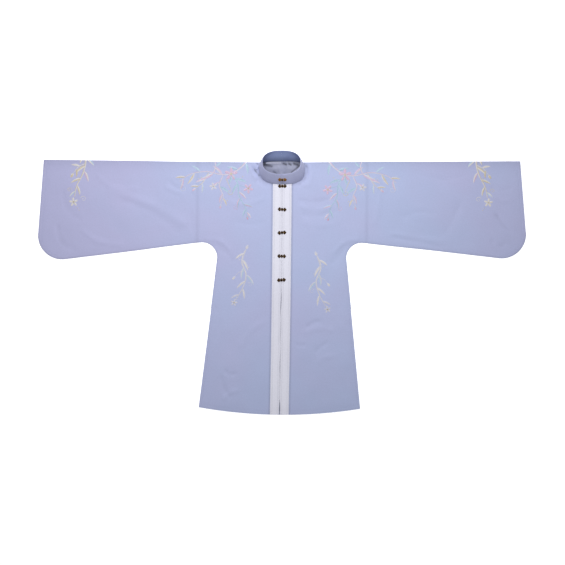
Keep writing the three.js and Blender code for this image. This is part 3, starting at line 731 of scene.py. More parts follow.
def front_neck(f, t):
    """The front's neck edge: its start at columns f below the side column, and its climb at rows t there."""
    first = math.degrees(math.acos((PLACKET["width"] / NECK["half_width"]) ** (NECK["front_power"] / 2)))
    x, y = oval(NECK, -first * (1 - np.clip((f - PLACKET_COLUMNS) / NECK_COLUMNS, 0, 1)))
    near = lerp(FRONT_GAP / 2, PLACKET["width"], f / PLACKET_COLUMNS)
    start = np.where(f < PLACKET_COLUMNS, near, x), np.where(f < PLACKET_COLUMNS, front_neck_y(near), y)
    angle = np.interp(t, range(NECK_ROWS + 1), (NECK_POINT_ANGLE, *NECK_SIDE_ANGLES))
    return start, oval(NECK, angle)


def back_neck(f, t):
    """The back's neck edge, in the same way."""
    near = lerp(SEAM_GAP / 2, PLACKET["width"], f / PLACKET_COLUMNS)
    further = lerp(PLACKET["width"], BACK_NECK_SIDE_X, (f - PLACKET_COLUMNS) / NECK_COLUMNS)
    x = np.where(f < PLACKET_COLUMNS, near, np.minimum(further, BACK_NECK_SIDE_X))
    side = lerp(NECK_POINT_X, BACK_NECK_SIDE_X, np.minimum(t / NECK_ROWS, 1))
    return (x, back_neck_y(x)), (side, back_neck_y(side))


def even_x(column, far_x):
    """x at a column, with the columns past the placket evenly spread as far as far_x."""
    return lerp(PLACKET["width"], far_x, (column - PLACKET_COLUMNS) / (BODY_COLUMNS - PLACKET_COLUMNS))


def above_underarm(f, t, start, side, foot):
    """Plan places of the rows above the underarm. foot is where the neck's side column leaves the neck."""
    corner_x, corner_y = underarm_point(45)
    to_even = smoothstep(t, NECK_ROWS, ARMHOLE_ROWS)
    lower = np.clip((t - NECK_ROWS) / (ARMHOLE_ROWS - NECK_ROWS), 0, 1)
    at_neck = t <= NECK_ROWS

    # Below the neck hole
    hole_x = np.where(f <= PLACKET_COLUMNS, start[0], lerp(start[0], even_x(f, corner_x), to_even))
    hole_y = lerp(start[1], corner_y, lower)

    # On the line down from the hole's side
    even_side = even_x(NECK_SIDE_COLUMN, corner_x)
    line_x = np.where(at_neck, side[0], lerp(foot[0], even_side, to_even))
    line_y = np.where(at_neck, side[1], lerp(foot[1], corner_y, lower))

    # Below the shoulder
    out = np.maximum((f - NECK_SIDE_COLUMN) / SHOULDER_COLUMNS, 1 / SHOULDER_COLUMNS)
    shoulder_x = lerp(NECK_POINT_X, corner_x, out)
    level = lerp(NECK["centre_y"], corner_y * NECK_ROWS / ARMHOLE_ROWS, out)
    outer_x = lerp(shoulder_x, lerp(even_side, corner_x, out), to_even)
    upper_y = lerp(shoulder_y(shoulder_x), level, np.clip(t / NECK_ROWS, 0, 1))
    outer_y = np.where(at_neck, upper_y, lerp(level, corner_y, lower))

    between = np.clip(f - NECK_SIDE_COLUMN, 0, 1)
    x = np.where(f < NECK_SIDE_COLUMN, hole_x, lerp(line_x, outer_x, between))
    return x, np.where(f < NECK_SIDE_COLUMN, hole_y, lerp(line_y, outer_y, between))


def below_underarm(f, t, start):
    curve_x, curve_y = underarm_point(45 * (1 - np.clip((t - ARMHOLE_ROWS) / UNDERARM_ROWS, 0, 1)))
    down = np.clip((t - ARMHOLE_ROWS - UNDERARM_ROWS) / SKIRT_ROWS, 0, 1)
    top = underarm_point(0)[1]
    edge = np.where(down <= 0, curve_x, side_x(lerp(top, HEM_CORNER[1], down)))
    x = np.where(f <= PLACKET_COLUMNS, start[0], even_x(f, edge))
    return x, np.where(down <= 0, curve_y, lerp(top, hem_y(x), down))


def body_grid(f, t, neck):
    """Plan places of a body panel's grid points at coarse columns f and rows t."""
    neck_side = line_at(f, NECK_SIDE_COLUMN)
    f, t = np.meshgrid(f, t, indexing="ij")
    start, side = neck(f, t)
    foot = start[0][neck_side, 0], start[1][neck_side, 0]
    high, low = above_underarm(f, t, start, side, foot), below_underarm(f, t, start)
    low_x, low_y = stub_lower(f)
    stub = low_x, lerp(shoulder_y(low_x), low_y, np.clip(t / ARMHOLE_ROWS, 0, 1))
    return [np.select([f > BODY_COLUMNS, t <= ARMHOLE_ROWS], [stub[n], high[n]], low[n]) for n in range(2)]


def line_at(lines, value):
    """Number of the grid line at a coarse column or row."""
    return int(np.argmin(np.abs(lines - value)))


def make_body(name, side, materials):
    f = spread(BODY_COLUMN_CELLS)
    t = spread(BODY_ROW_CELLS)
    body_end = line_at(f, BODY_COLUMNS)
    underarm_row = line_at(t, ARMHOLE_ROWS)
    neck_side = line_at(f, NECK_SIDE_COLUMN)
    held = np.ones((len(f) - 1, len(t) - 1), dtype=bool)
    held[body_end:, underarm_row:] = False
    held[:neck_side, : line_at(t, NECK_ROWS)] = False
    (front_x, front_y), back = body_grid(f, t, front_neck), body_grid(f, t, back_neck)
    edge = np.maximum(placket_edge(side, front_y) + PLACKET_OVERHANG, FRONT_GAP / 2)
    share = np.clip(front_x / PLACKET["width"], 0, 1)
    front = np.where(share < 1, lerp(edge, PLACKET["width"], share), front_x), front_y

    def joined(a, b):
        shoulder = a[1] == 0 and b[1] == 0 and min(a[0], b[0]) >= neck_side
        underarm = a[1] == b[1] == underarm_row and min(a[0], b[0]) >= body_end
        seam = a[0] == b[0] == body_end and min(a[1], b[1]) >= underarm_row
        above_vent = front[1][a] > VENT_TOP_Y and front[1][b] > VENT_TOP_Y
        return shoulder or underarm or (seam and above_vent)

    piece = folded_shell(f"jacket_body_{name}", side, held, front, back, joined)
    return wear(piece, materials, f"body_panel_{name}")


# Sleeves


def sleeve_grid(f, t):
    f, t = np.meshgrid(f, t, indexing="ij")
    straight = np.clip(f / SLEEVE_SECTIONS, 0, 1)
    turned = np.clip((f - SLEEVE_SECTIONS) / CORNER_SECTIONS, 0, 1)
    seam_x = SLEEVE_SEAM[0] - SLEEVE_OVERLAP
    arc_x, arc_y = corner_point(turned)
    straight_x = lerp(seam_x, CORNER_START[0], straight)
    low_x = np.where(turned > 0, arc_x, straight_x)
    low_y = np.where(turned > 0, arc_y, lerp(SLEEVE_SEAM[1], CORNER_START[1], straight))
    high_x = lerp(straight_x, SLEEVE_TOP_CORNER[0], turned)
    share = t / SLEEVE_ROWS
    return lerp(high_x, low_x, share), lerp(shoulder_y(high_x), low_y, share)


def make_sleeve(name, side, materials):
    f = spread(SLEEVE_COLUMN_CELLS)
    t = spread(SLEEVE_ROW_CELLS)
    held = np.ones((len(f) - 1, len(t) - 1), dtype=bool)
    grid = sleeve_grid(f, t)

    def joined(a, b):
        return a[1] == b[1] and a[1] in (0, len(t) - 1) and a[0] != b[0]

    piece = folded_shell(f"jacket_sleeve_{name}", side, held, grid, grid, joined)
    return wear(piece, materials, f"sleeve_{name}")


# Plackets, facing and collar


def placket_gap(y):
    """Half the width of the gap between the plackets, which opens a little where no clasp holds it."""
    opening = sum(ridge(shape, y) for shape in PLACKET_OPENINGS)
    return CLOSED_GAP + opening + HEM_OPENING * smoothstep(-y, 900, 940)


def gap_drift(y):
    """How far the gap wanders towards the wearer's left."""
    return (0.5 * np.sin(y / 41) + 0.6 * np.sin(y / 17)) * smoothstep(-y, 470, 560)


def placket_top(side, x, y):
    return front_z(side, x, y) + PLACKET["bottom"] + PLACKET["thickness"]


def placket_edge(side, y):
    return placket_gap(y) + side * gap_drift(y)


def placket_x(side, y, distance):
    """x on the placket at a distance from its front edge."""
    return lerp(placket_edge(side, y), PLACKET["width"], distance / PLACKET_SPAN)


def make_placket(name, side, materials):
    steps = np.array(PLACKET_EDGE_STEPS)
    columns = np.concatenate([steps, PLACKET_MIDDLE_STEPS, PLACKET_SPAN - steps[::-1]])
    distance, share = np.meshgrid(columns, np.linspace(0, 1, PLACKET_CELLS), indexing="ij")
    y = lerp(front_neck_y(distance), hem_y(distance), share)
    x = placket_x(side, y, distance)
    from_side = np.minimum(distance, PLACKET_SPAN - distance)
    groove = sum(ridge((PLACKET["groove"], row, STITCH_DENT), from_side) for row in PLACKET_ROWS)
    rib = 0.05 * np.cos(distance * 1.9)
    wave = 0.1 * np.sin(y / 31 + distance / 9) + 0.06 * np.sin(y / 13.7)
    thickness = PLACKET["thickness"] * (1 - 0.55 * np.exp(-from_side / STITCH_DENT))
    base = front_z(side, x, y) + PLACKET["bottom"]
    z = base + (thickness - groove) / 2 + (rib + wave) * (from_side > 1)
    # Painted shade in the stitch grooves and at the placket's top under the collar, turning to painted light
    # towards the hem
    painted_shading = groove * 0.7 + lerp(*PLACKET_SHADES, share)
    middle = place(side, x, y, z)
    piece = thick_sheet(f"placket_band_{name}", middle, (thickness - groove) / 2, (x, y), painted_shading)
    return wear(piece, materials, f"placket_{name}")


def facing_creases(side, x, y):
    creases = np.zeros(np.shape(x))
    for ax, ay, bx, by, width, height in FACING_CREASES:
        creases = creases + height * bell(distance_to_line(side * x, y, [(ax, ay), (bx, by)]), width)
    return np.clip(creases, -1.2, 1)


def facing_z(side, x, y):
    """Top of the neck facing, with the slack creases that show through the collar. Under the front layer it
    stays clear of that layer."""
    slack = FACING["slack"] * bell(np.hypot(x, y + 20), 62) * (1 + facing_creases(side, x, y))
    height = FACING["bottom"] + FACING["thickness"] + slack + ridge(FACING_SEAM, x)
    in_neck_hole = (y > front_neck_y(x)) & (x < NECK["half_width"])
    return np.minimum(height, front_z(side, x, y) - CLOTH - 0.3 + 4 * in_neck_hole)


def make_facing(name, side, materials):
    u, v = np.meshgrid(np.linspace(0, 1, 64) ** 1.15, np.linspace(0, 1, 56), indexing="ij")
    x = lerp(SEAM_GAP / 2, FACING["reach_x"], u)
    top = back_neck_y(np.minimum(x, NECK_POINT_X)) - SEAM_GAP - 2 * CLOTH
    side_y = FACING["reach_y"] * FACING["side_share"]
    y = lerp(top, lerp(FACING["reach_y"], side_y, (x / FACING["reach_x"]) ** 3), v)
    half = FACING["thickness"] / 2
    middle = place(side, x, y, facing_z(side, x, y) - half)
    creases = facing_creases(side, x, y)
    # Painted shade in the facing's creases, at its sides and along its top under the collar's back, and
    # painted light on its crests and along the centre seam
    painted_shading = 0.95 * np.clip(-creases, 0, 1) - 0.15 * np.clip(creases, 0, 1)
    painted_shading += ridge(FACING_SIDE_SHADE, x) + ridge(FACING_NAPE_SHADE, y) - ridge(FACING_SEAM_LIGHT, x)
    piece = thick_sheet(f"neck_facing_cloth_{name}", middle, half, (x, y), painted_shading)
    return wear(piece, materials, f"neck_facing_{name}")


def make_neck_tape(materials):
    """The short woven tape sewn over the neck seam, on the wearer's right of the centre."""
    u, v = np.meshgrid(np.linspace(0, 1, 30), np.linspace(0, 1, 7), indexing="ij")
    x = lerp(NECK_TAPE["from_x"], NECK_TAPE["to_x"], u)
    y = lerp(NECK_TAPE["from_y"], NECK_TAPE["to_y"], v) + NECK_TAPE["sag"] * (u - 0.5) ** 2
    z = facing_z(-1, x, y) + NECK_TAPE["lift"] + 0.1 * np.sin(u * 11)
    half = NECK_TAPE["thickness"] / 2
    # The tape carries painted shade all over, as it lies under the collar's back
    piece = thick_sheet("neck_tape", place(-1, x, y, z), half, (x, y), NECK_TAPE["shade"])
    return wear(piece, materials)


def collar_line(shape, height_at, count):
    """Half of the collar's base or rim, from the centre back to the centre front, evenly spaced."""
    angle = np.linspace(90, -90, 721)
    x, y = oval(shape, angle)
    gap = np.where(angle > 0, SEAM_GAP / 2, FRONT_GAP / 2)
    line = np.stack([np.maximum(x, gap), y, height_at(angle)], axis=-1)
    travelled = distance_along(line)
    even = np.linspace(0, travelled[-1], count)
    return sampled(line, travelled, even), even


def rim_height(angle):
    share = np.sin(np.radians(angle)) ** 2
    return lerp(RIM_Z["side"], np.where(angle > 0, RIM_Z["back"], RIM_Z["front"]), share)


def collar_surface(side, rows):
    """Middle surface of half the collar, with how far each column is along it, in millimetres."""
    foot = dict(
        NECK,
        half_width=NECK["half_width"] - COLLAR["inset"],
        back=NECK["back"] - COLLAR["inset"],
        front=NECK["front"] - COLLAR["inset"],
    )
    base, along = collar_line(foot, lambda angle: np.full(angle.shape, COLLAR["base_z"]), COLLAR_CELLS)
    rim, _ = collar_line(RIM, rim_height, COLLAR_CELLS)
    centre = np.array([0, (NECK["centre_y"] + RIM["centre_y"]) / 2])
    sewn_top = base + np.array([0, 0, COLLAR["sewn"]])
    share = rows[None, :, None]
    points = lerp(sewn_top[:, None], rim[:, None], np.maximum(share, 0))
    points = np.where(share < 0, lerp(sewn_top[:, None], base[:, None], -share), points)
    out = unit(points[..., :2] - centre)
    share = np.maximum(rows[None, :], 0)
    at = along[:, None]
    softness = 0.5 * np.sin(at / 17 + side) + 0.35 * np.sin(at / 9.1 + 2 * side) * share
    bulge = (COLLAR["bulge"] + softness) * np.sin(np.pi * share)
    if side < 0:
        slump = ridge(COLLAR_SLUMP, base[:, None, 1]) * smoothstep(base[:, None, 0], 30, 80)
        bulge = bulge + slump * np.sin(np.pi * share**0.55)
    points[..., :2] += out * bulge[..., None]
    points[..., 2] -= COLLAR["front_drop"] * np.exp((at - along[-1]) / 4) * share**2
    points[..., 0] = np.maximum(points[..., 0], np.minimum(base[:, None, 0], rim[:, None, 0]))
    placed = place(side, points[..., 0], points[..., 1], points[..., 2])
    placed[..., 0] += RIM_SHIFT * share * MM
    return placed, along


def make_collar(name, side, materials):
    rows = np.concatenate([COLLAR_SEWN_ROWS, np.linspace(0, 0.9, 20), COLLAR_RIM_ROWS])
    middle, along = collar_surface(side, rows)
    u, v = np.meshgrid(along, COLLAR["height"] * np.maximum(rows, 0), indexing="ij")
    below_rim = COLLAR["height"] - v
    rounding = 1 - 0.75 * np.exp(-below_rim / 0.8)
    half = COLLAR["thickness"] / 2 * rounding * (1 - ridge(RIM_STITCH_DENT, below_rim))
    # Painted highlight along the rim, brighter towards the front, and painted shade on both faces near the
    # collar's foot
    rim = lerp(-0.02, -0.22, smoothstep(u, 70, 130)) * bell(below_rim - 1, 2.6)
    inside, outside = rim + ridge(LINING_SHADE, v), rim + ridge(COLLAR_FOOT_SHADE, v)
    # Painted light on the front of the wearer's left half, and painted shade on the front of the right half
    outside -= 0.1 * side * smoothstep(u, 90, 150) * smoothstep(along[-1] - u, 3, 30)
    painted_shading = (inside, outside) if side > 0 else (outside, inside)
    piece = thick_sheet(f"collar_band_{name}", middle, half, (u, v), painted_shading)
    # Faces of the collar's inside take the lining, which carries painted shade
    shaded_lining_faces = [all((n < u.size) == (side > 0) for n in polygon.vertices) for polygon in piece.data.polygons]
    return wear(piece, materials, f"collar_{name}", shaded_lining_faces)


# Stitches


def stitch_mesh(points, normals):
    """Short dashes of thread along a line of points, in metres."""
    travelled = distance_along(points)
    starts = np.arange(STITCH["pitch"] / 2, travelled[-1] / MM - STITCH["length"], STITCH["pitch"]) * MM
    ends = starts + STITCH["length"] * MM
    a, b = sampled(points, travelled, starts), sampled(points, travelled, ends)
    up = unit(sampled(normals, travelled, (starts + ends) / 2))
    run = b - a
    sideways = unit(np.cross(run, up))
    ring = [STITCH["radius"] * MM * offset for offset in (sideways, up, -sideways, -0.4 * up)]
    sunk = 0.5 * STITCH["radius"] * MM * up
    rings = [a + share * run + offset for share in (0.25, 0.75) for offset in ring]
    vertices = np.stack([a - sunk, *rings, b - sunk], axis=1)
    pattern = spindle_faces(2, len(ring))
    faces = [[vertices.shape[1] * k + v for v in face] for k in range(len(starts)) for face in pattern]
    return vertices.reshape(-1, 3), faces


def stitch_lines(side):
    """Lines of topstitching on one side: those on the placket, and those on the body and sleeve."""
    on_placket = []
    for distance in (*PLACKET_ROWS, *(PLACKET_SPAN - row for row in PLACKET_ROWS)):
        y = np.linspace(front_neck_y(distance) - 1.5, hem_y(distance) + 1.5, 320)
        x = placket_x(side, y, distance)
        on_placket.append((x, y, placket_top(side, x, y) - 0.2))
    vent_foot = hem_y(300) + HEM_DEPTH
    hem_x = np.linspace(PLACKET["width"] + 2, side_x(vent_foot) - VENT_HEM, 160)
    vent_y = np.linspace(vent_foot, VENT_TOP_Y + 4, 120)
    end_x, end_y = corner_point(1)
    cuff_y = np.linspace(SLEEVE_TOP_CORNER[1] - 3, end_y, 140)
    down_cuff = (SLEEVE_TOP_CORNER[1] - cuff_y) / (SLEEVE_TOP_CORNER[1] - end_y)
    plan = [
        (hem_x, hem_y(hem_x) + HEM_DEPTH),
        (side_x(vent_y) - VENT_HEM, vent_y),
        (lerp(SLEEVE_TOP_CORNER[0], end_x, down_cuff) - HEM_DEPTH, cuff_y),
        corner_point(np.linspace(1, 0.15, 60), HEM_DEPTH),
    ]
    return on_placket, [(x, y, front_z(side, x, y)) for x, y in plan]


def make_stitches(name, side, materials):
    thread = Solid()
    for shade, lines in enumerate(stitch_lines(side)):
        for line in lines:
            points = place(side, *line)
            thread.add(*stitch_mesh(points, np.tile([0.0, 0.0, 1.0], (len(points), 1))), shade)
    rim_row = 1 - RIM_STITCH_DENT[1] / COLLAR["height"]
    grid, _ = collar_surface(side, rim_row + np.array([-0.01, 0, 0.01]))
    normal = surface_normals(grid)[:, 1]
    for end in (1, -1):
        lift = end * COLLAR["thickness"] / 2 * 0.93 * MM
        thread.add(*stitch_mesh(grid[:, 1] + normal * lift, normal * end), 1)
    piece = new_object(f"topstitching_{name}", np.concatenate(thread.vertices), thread.faces)
    return wear(piece, materials, chosen=thread.shades)


# Clasps


class Solid:
    """Collects simple closed forms into one mesh, with the number of a material for each."""

    def __init__(self):
        self.vertices, self.faces, self.shades, self.total = [], [], [], 0

    def add(self, vertices, faces, shade=0):
        self.vertices.append(np.asarray(vertices, float))
        self.faces += [[self.total + v for v in face] for face in faces]
        self.shades += [shade] * len(faces)
        self.total += len(vertices)

    def turned(self, profile, centre, segments=24, petals=0, petal_depth=0.0, shade=0):
        """A form turned about a vertical axis. profile lists (radius, height) from the bottom centre up."""
        angle = np.linspace(0, 2 * math.pi, segments, endpoint=False)
        wave = 1 - petal_depth * (0.5 + 0.5 * np.cos(petals * angle))
        circle = np.stack([wave * np.cos(angle), wave * np.sin(angle), 0 * angle], axis=-1)
        rings = [radius * circle + (0, 0, height) for radius, height in profile[1:-1]]
        low, high = ([[0, 0, profile[n][1]]] for n in (0, -1))
        vertices = np.concatenate([low, *rings, high]) + (*centre, 0)
        self.add(vertices, spindle_faces(len(rings), segments), shade)

    def hoop(self, radius, tube, height, segments=32, around=10):
        steps = [np.arange(count) * 2 * math.pi / count for count in (segments, around)]
        angle, turn = np.meshgrid(*steps, indexing="ij")
        reach = radius + tube * np.cos(turn)
        level = height + tube * np.sin(turn)
        vertices = np.stack([reach * np.cos(angle), reach * np.sin(angle), level], axis=-1)
        number = np.arange(segments * around).reshape(segments, around)
        self.add(vertices.reshape(-1, 3), grid_faces(np.pad(number, (0, 1), mode="wrap")))

    def bar(self, start, end, width, height):
        """A rounded bar from start to end, with an eight-sided section."""
        start, end = np.array(start, float), np.array(end, float)
        run = unit(end - start)
        sideways = np.array([-run[1], run[0], 0]) / max(math.hypot(run[0], run[1]), 1e-9)
        up = np.cross(run, sideways)
        angle = np.arange(8)[:, None] * math.pi / 4
        section = np.cos(angle) * sideways * width / 2 + np.sin(angle) * up * height / 2
        inset = 0.4 * run
        rings = [start + section / 2, start + inset + section, end - inset + section, end + section / 2]
        self.add(np.concatenate([[start], *rings, [end]]), spindle_faces(4, 8))


def dished(radius, plate):
    """Profile of a low round plate with a raised rim and a bead at its centre."""
    return [(radius * out, plate * up) for out, up in DISH_PROFILE]


def trefoil(form, sign):
    for x, y in TREFOIL_LOBES:
        form.turned(dished(CLASP["lobe"], CLASP["plate"]), (sign * x, y))
    form.turned(TREFOIL_HEART, (sign * 10.4, 0), 16)


def ring_form():
    form = Solid()
    trefoil(form, -1)
    form.hoop(CLASP["ring"], CLASP["ring_tube"], 0.9)
    form.bar((-5.2, 0, 0.85), (-8.6, 0, 0.85), CLASP["arm_width"], 1.5)
    return form


def knob_form():
    form = Solid()
    trefoil(form, 1)
    form.turned([(0, 0.1), (CLASP["stem"], 0.1), (CLASP["stem"], 3.0), (0, 3.0)], (0, 0), 20)
    form.bar((1.2, 0, CLASP["arm_z"]), (7.4, 0, CLASP["arm_z"]), CLASP["arm_width"], 1.1)
    form.bar((6.9, 0, 0.9), (6.9, 0.01, 2.7), CLASP["arm_width"], 1.4)
    angles = np.radians([-62, -40, -15, 10, 32, 52, 70])
    dome = [(0, 2.6), *((CLASP["dome"] * math.cos(a), 3.9 + 1.9 * math.sin(a)) for a in angles), (0, 5.85)]
    form.turned(dome, (0, 0), 40, petals=8, petal_depth=0.09, shade=1)
    form.turned([(0, 5.3), (0.95, 5.5), (0.9, 5.95), (0.5, 6.15), (0, 6.2)], (0, 0), 16)
    return form


def make_clasp_half(name, form, materials, position, tilt, turn):
    x, y, z = np.concatenate(form.vertices).T
    turn = math.radians(turn)
    x, y = x * math.cos(turn) - y * math.sin(turn), x * math.sin(turn) + y * math.cos(turn)
    y, z = y * math.cos(tilt) - z * math.sin(tilt), y * math.sin(tilt) + z * math.cos(tilt)
    piece = new_object(f"{name}_metal", np.stack([x, y, z], axis=-1) * MM + np.asarray(position), form.faces)
    wear(piece, materials, name, form.shades)


def clasp_places():
    """Where each clasp sits and how far it tilts: the first on the collar's sloping front, the rest on the
    plackets."""
    column = collar_surface(1, np.array([0.25, 0.5, 0.75]))[0][-1]
    slope = column[2] - column[0]
    tilt = math.atan2(slope[2], slope[1])
    _, centre_y, centre_z = np.mean(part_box("clasp_1_ring"), axis=0)
    reach = CLASP["plate"] / 2 * MM
    places = [((CENTRE_X * MM, centre_y + reach * math.sin(tilt), centre_z - reach * math.cos(tilt)), tilt)]
    return places + [(tuple(place(1, 0, y, placket_top(1, 9.0, y) - 0.2)), 0.0) for y in CLASP_YS]


def make_clasps(collar_metal, metal, knob_metal):
    for number, ((position, tilt), turn) in enumerate(zip(clasp_places(), CLASP_TURNS), start=1):
        materials = [collar_metal if number == 1 else metal, knob_metal]
        for half, form in (("ring", ring_form()), ("knob", knob_form())):
            make_clasp_half(f"clasp_{number}_{half}", form, materials, position, tilt, turn)


# Embroidery


FOLD_RADIUS = 1.3
CREAM, GOLD, PINK, ROSE, TEAL, SKY, MIST = range(7)

# Cross-sections of a stitched shape, as (across, height) pairs
DOMED = ((-1, -0.1), (-0.6, 0.75), (0, 1), (0.6, 0.75), (1, -0.1))
GROOVED = ((-1, -0.1), (-0.75, 0.7), (-0.4, 1), (0, 0.35), (0.4, 1), (0.75, 0.7), (1, -0.1))


def on_cloth(side, x, y, height):
    """Points a little above the cloth, carried over the fold at the shoulder and sleeve top to the back."""
    fold_y = shoulder_y(x)
    arc = math.pi * FOLD_RADIUS
    turned = np.clip((y - fold_y) / arc, 0, 1)
    angle = turned * math.pi
    flat_y = np.where(y - fold_y > arc, 2 * fold_y + arc - y, np.minimum(y, fold_y))
    reach = np.where((turned > 0) & (turned < 1), (FOLD_RADIUS - 0.3 + height) * np.sin(angle), 0)
    top = front_z(side, x, flat_y) + height
    bottom = np.maximum(BACK_Z - height, 0.04)
    z = np.select([turned <= 0, turned >= 1], [top, bottom], lerp(top, bottom, (1 - np.cos(angle)) / 2))
    return place(side, x, flat_y + reach, z)


def towards(angle):
    """Steps of one millimetre in the plan, at angles in degrees from the x axis."""
    return np.stack([np.cos(np.radians(angle)), np.sin(np.radians(angle))], axis=-1)


def left_of(line):
    """Steps of one millimetre to the left of a line, at each of its points."""
    run = unit(np.gradient(line, axis=0), 1e-9)
    return np.stack([-run[:, 1], run[:, 0]], axis=-1)


class Needlework:
    """Collects satin-stitched shapes as low domed strips with a thread colour each."""

    def __init__(self):
        self.points, self.heights, self.uvs, self.faces, self.colours = [], [], [], [], []
        self.total = 0

    def strip(self, line, widths, colour, height=0.5, section=DOMED):
        """A strip along a line of plan points. section lists its cross-section as (across, height) pairs."""
        line, widths = np.asarray(line, float), np.asarray(widths, float)
        across, rise = np.array(section).T
        sideways = across * widths[:, None] / 2
        fade = np.clip(widths / max(widths.max(), 1e-9) * 2.5, 0.25, 1)
        self.points.append((line[:, None] + left_of(line)[:, None] * sideways[..., None]).reshape(-1, 2))
        self.heights.append(np.where(rise > 0, rise * height * fade[:, None], rise * height).ravel())
        uv = np.stack(np.broadcast_arrays(distance_along(line)[:, None], sideways), axis=-1)
        self.uvs.append(uv.reshape(-1, 2) * MM)
        count, wide = len(line), len(section)
        self.faces += grid_faces(self.total + np.arange(count * wide).reshape(count, wide))
        shades = colour if isinstance(colour, tuple) else (colour, colour)
        self.colours += [shades[2 * j >= wide - 1] for j in range(wide - 1)] * (count - 1)
        self.total += count * wide

    def stem(self, points, width, colour, beside=None, taper=0.35):
        line = smooth_line(points)
        t = np.linspace(0, 1, len(line))
        widths = width * (1 - (1 - taper) * t) * (1 - np.exp(-t * 30))
        self.strip(line, widths, colour, 0.42)
        if beside is not None:
            self.strip(line + left_of(line) * widths[:, None] * 0.85, widths * 0.6, beside, 0.4)
        return line

    def leaf(self, base, angle, length, width, colour, bend):
        """A slender leaf with a groove along its middle. bend is in radians along its length."""
        t = np.linspace(0, 1, 15)
        steps = towards(angle + np.degrees(bend * (t[:-1] - 0.2))) * length / len(t[:-1])
        line = np.array(base) + np.concatenate([[[0, 0]], np.cumsum(steps, axis=0)])
        self.strip(line, width * np.sin(np.pi * t**0.8) ** 0.85 + 0.25, colour, 0.5, GROOVED)

    def petal(self, base, angle, length, width, colour):
        t = np.linspace(0, 1, 12)
        line = np.array(base) + towards(angle) * (length * t)[:, None]
        fullness = 1 - (1.65 * t - 0.85) ** 2 * np.where(t > 0.515, 1.56, 1)
        self.strip(line, width * np.sqrt(np.clip(fullness, 0, 1)) + 0.2, colour, 0.6)

    def knot(self, centre, radius, colour, height=1.0):
        """A round knot, as a short strip that is as wide as it is long."""
        t = np.linspace(-1, 1, 9)
        line = np.array(centre) + np.stack([radius * t, 0 * t], axis=-1)
        self.strip(line, 2 * radius * np.sqrt(1 - t**2) + 0.02, colour, height)

    def knots(self, centres, radius, colour):
        for centre in centres:
            self.knot(centre, radius, colour)

    def blossom(self, centre, radius, colour, tip, start=0, petals=5):
        centre = np.array(centre, float)
        for n in range(petals):
            angle = start + n * 360 / petals
            vein = [centre + towards(angle) * radius * share for share in (0.2, 0.5, 0.7)]
            self.petal(vein[0], angle, radius * 0.82, radius * 0.48, colour)
            self.strip(vein, [0.5, 0.8, 0.3], tip, 0.75)
        angles = start + 25 + 60 * np.arange(6)
        self.knots(centre + radius * 0.14 * towards(angles), radius * 0.07, GOLD)
        self.knot(centre, radius * 0.09, GOLD, 1.1)

    def bud(self, base, angle, size, colour, calyx):
        self.petal(base, angle, size, size * 0.5, colour)
        for turn in (-24, 24):
            self.petal(base, angle + turn, size * 0.62, size * 0.26, calyx)

    def curl(self, centre, radius, start, turns, width, colour):
        t = np.linspace(0, 1, 40)
        reach = radius * (1 - t) ** 0.8 + 0.6
        line = np.array(centre) + reach[:, None] * towards(start + turns * 360 * t)
        self.strip(line, width * (0.4 + 0.6 * (1 - t)), colour, 0.42)

    def leafy_stem(self, points, width, colour, beside, leaves):
        """A stem with leaves, which list share along it, turn from it in degrees, length, width, colour."""
        line = self.stem(points, width, colour, beside)
        run = np.gradient(line, axis=0)
        for share, turn, length, leaf_width, leaf_colour in leaves:
            n = int(share * (len(line) - 1))
            angle = math.degrees(math.atan2(run[n, 1], run[n, 0])) + turn
            self.leaf(line[n], angle, length, leaf_width, leaf_colour, -0.5 if turn > 0 else 0.5)

    def finish(self, name, side, shift, materials):
        x, y = (np.concatenate(self.points) + np.array(shift)).T
        vertices = on_cloth(side, x, y, np.concatenate(self.heights))
        faces = self.faces if side > 0 else [face[::-1] for face in self.faces]
        piece = new_object(name, vertices, faces, np.concatenate(self.uvs))
        wear(piece, materials, chosen=self.colours)


def smooth_line(points, per_span=14):
    """A smooth line through a few points."""
    points = np.asarray(points, float)
    padded = np.concatenate([[2 * points[0] - points[1]], points, [2 * points[-1] - points[-2]]])
    t = np.linspace(0, 1, per_span, endpoint=False)[:, None]
    spans = []
    for p0, p1, p2, p3 in zip(padded[:-3], padded[1:-2], padded[2:-1], padded[3:]):
        curve = (2 * p0 - 5 * p1 + 4 * p2 - p3) * t**2 + (3 * p1 - p0 - 3 * p2 + p3) * t**3
        spans.append(p1 + 0.5 * ((p2 - p0) * t + curve))
    return np.concatenate([*spans, points[-1:]])


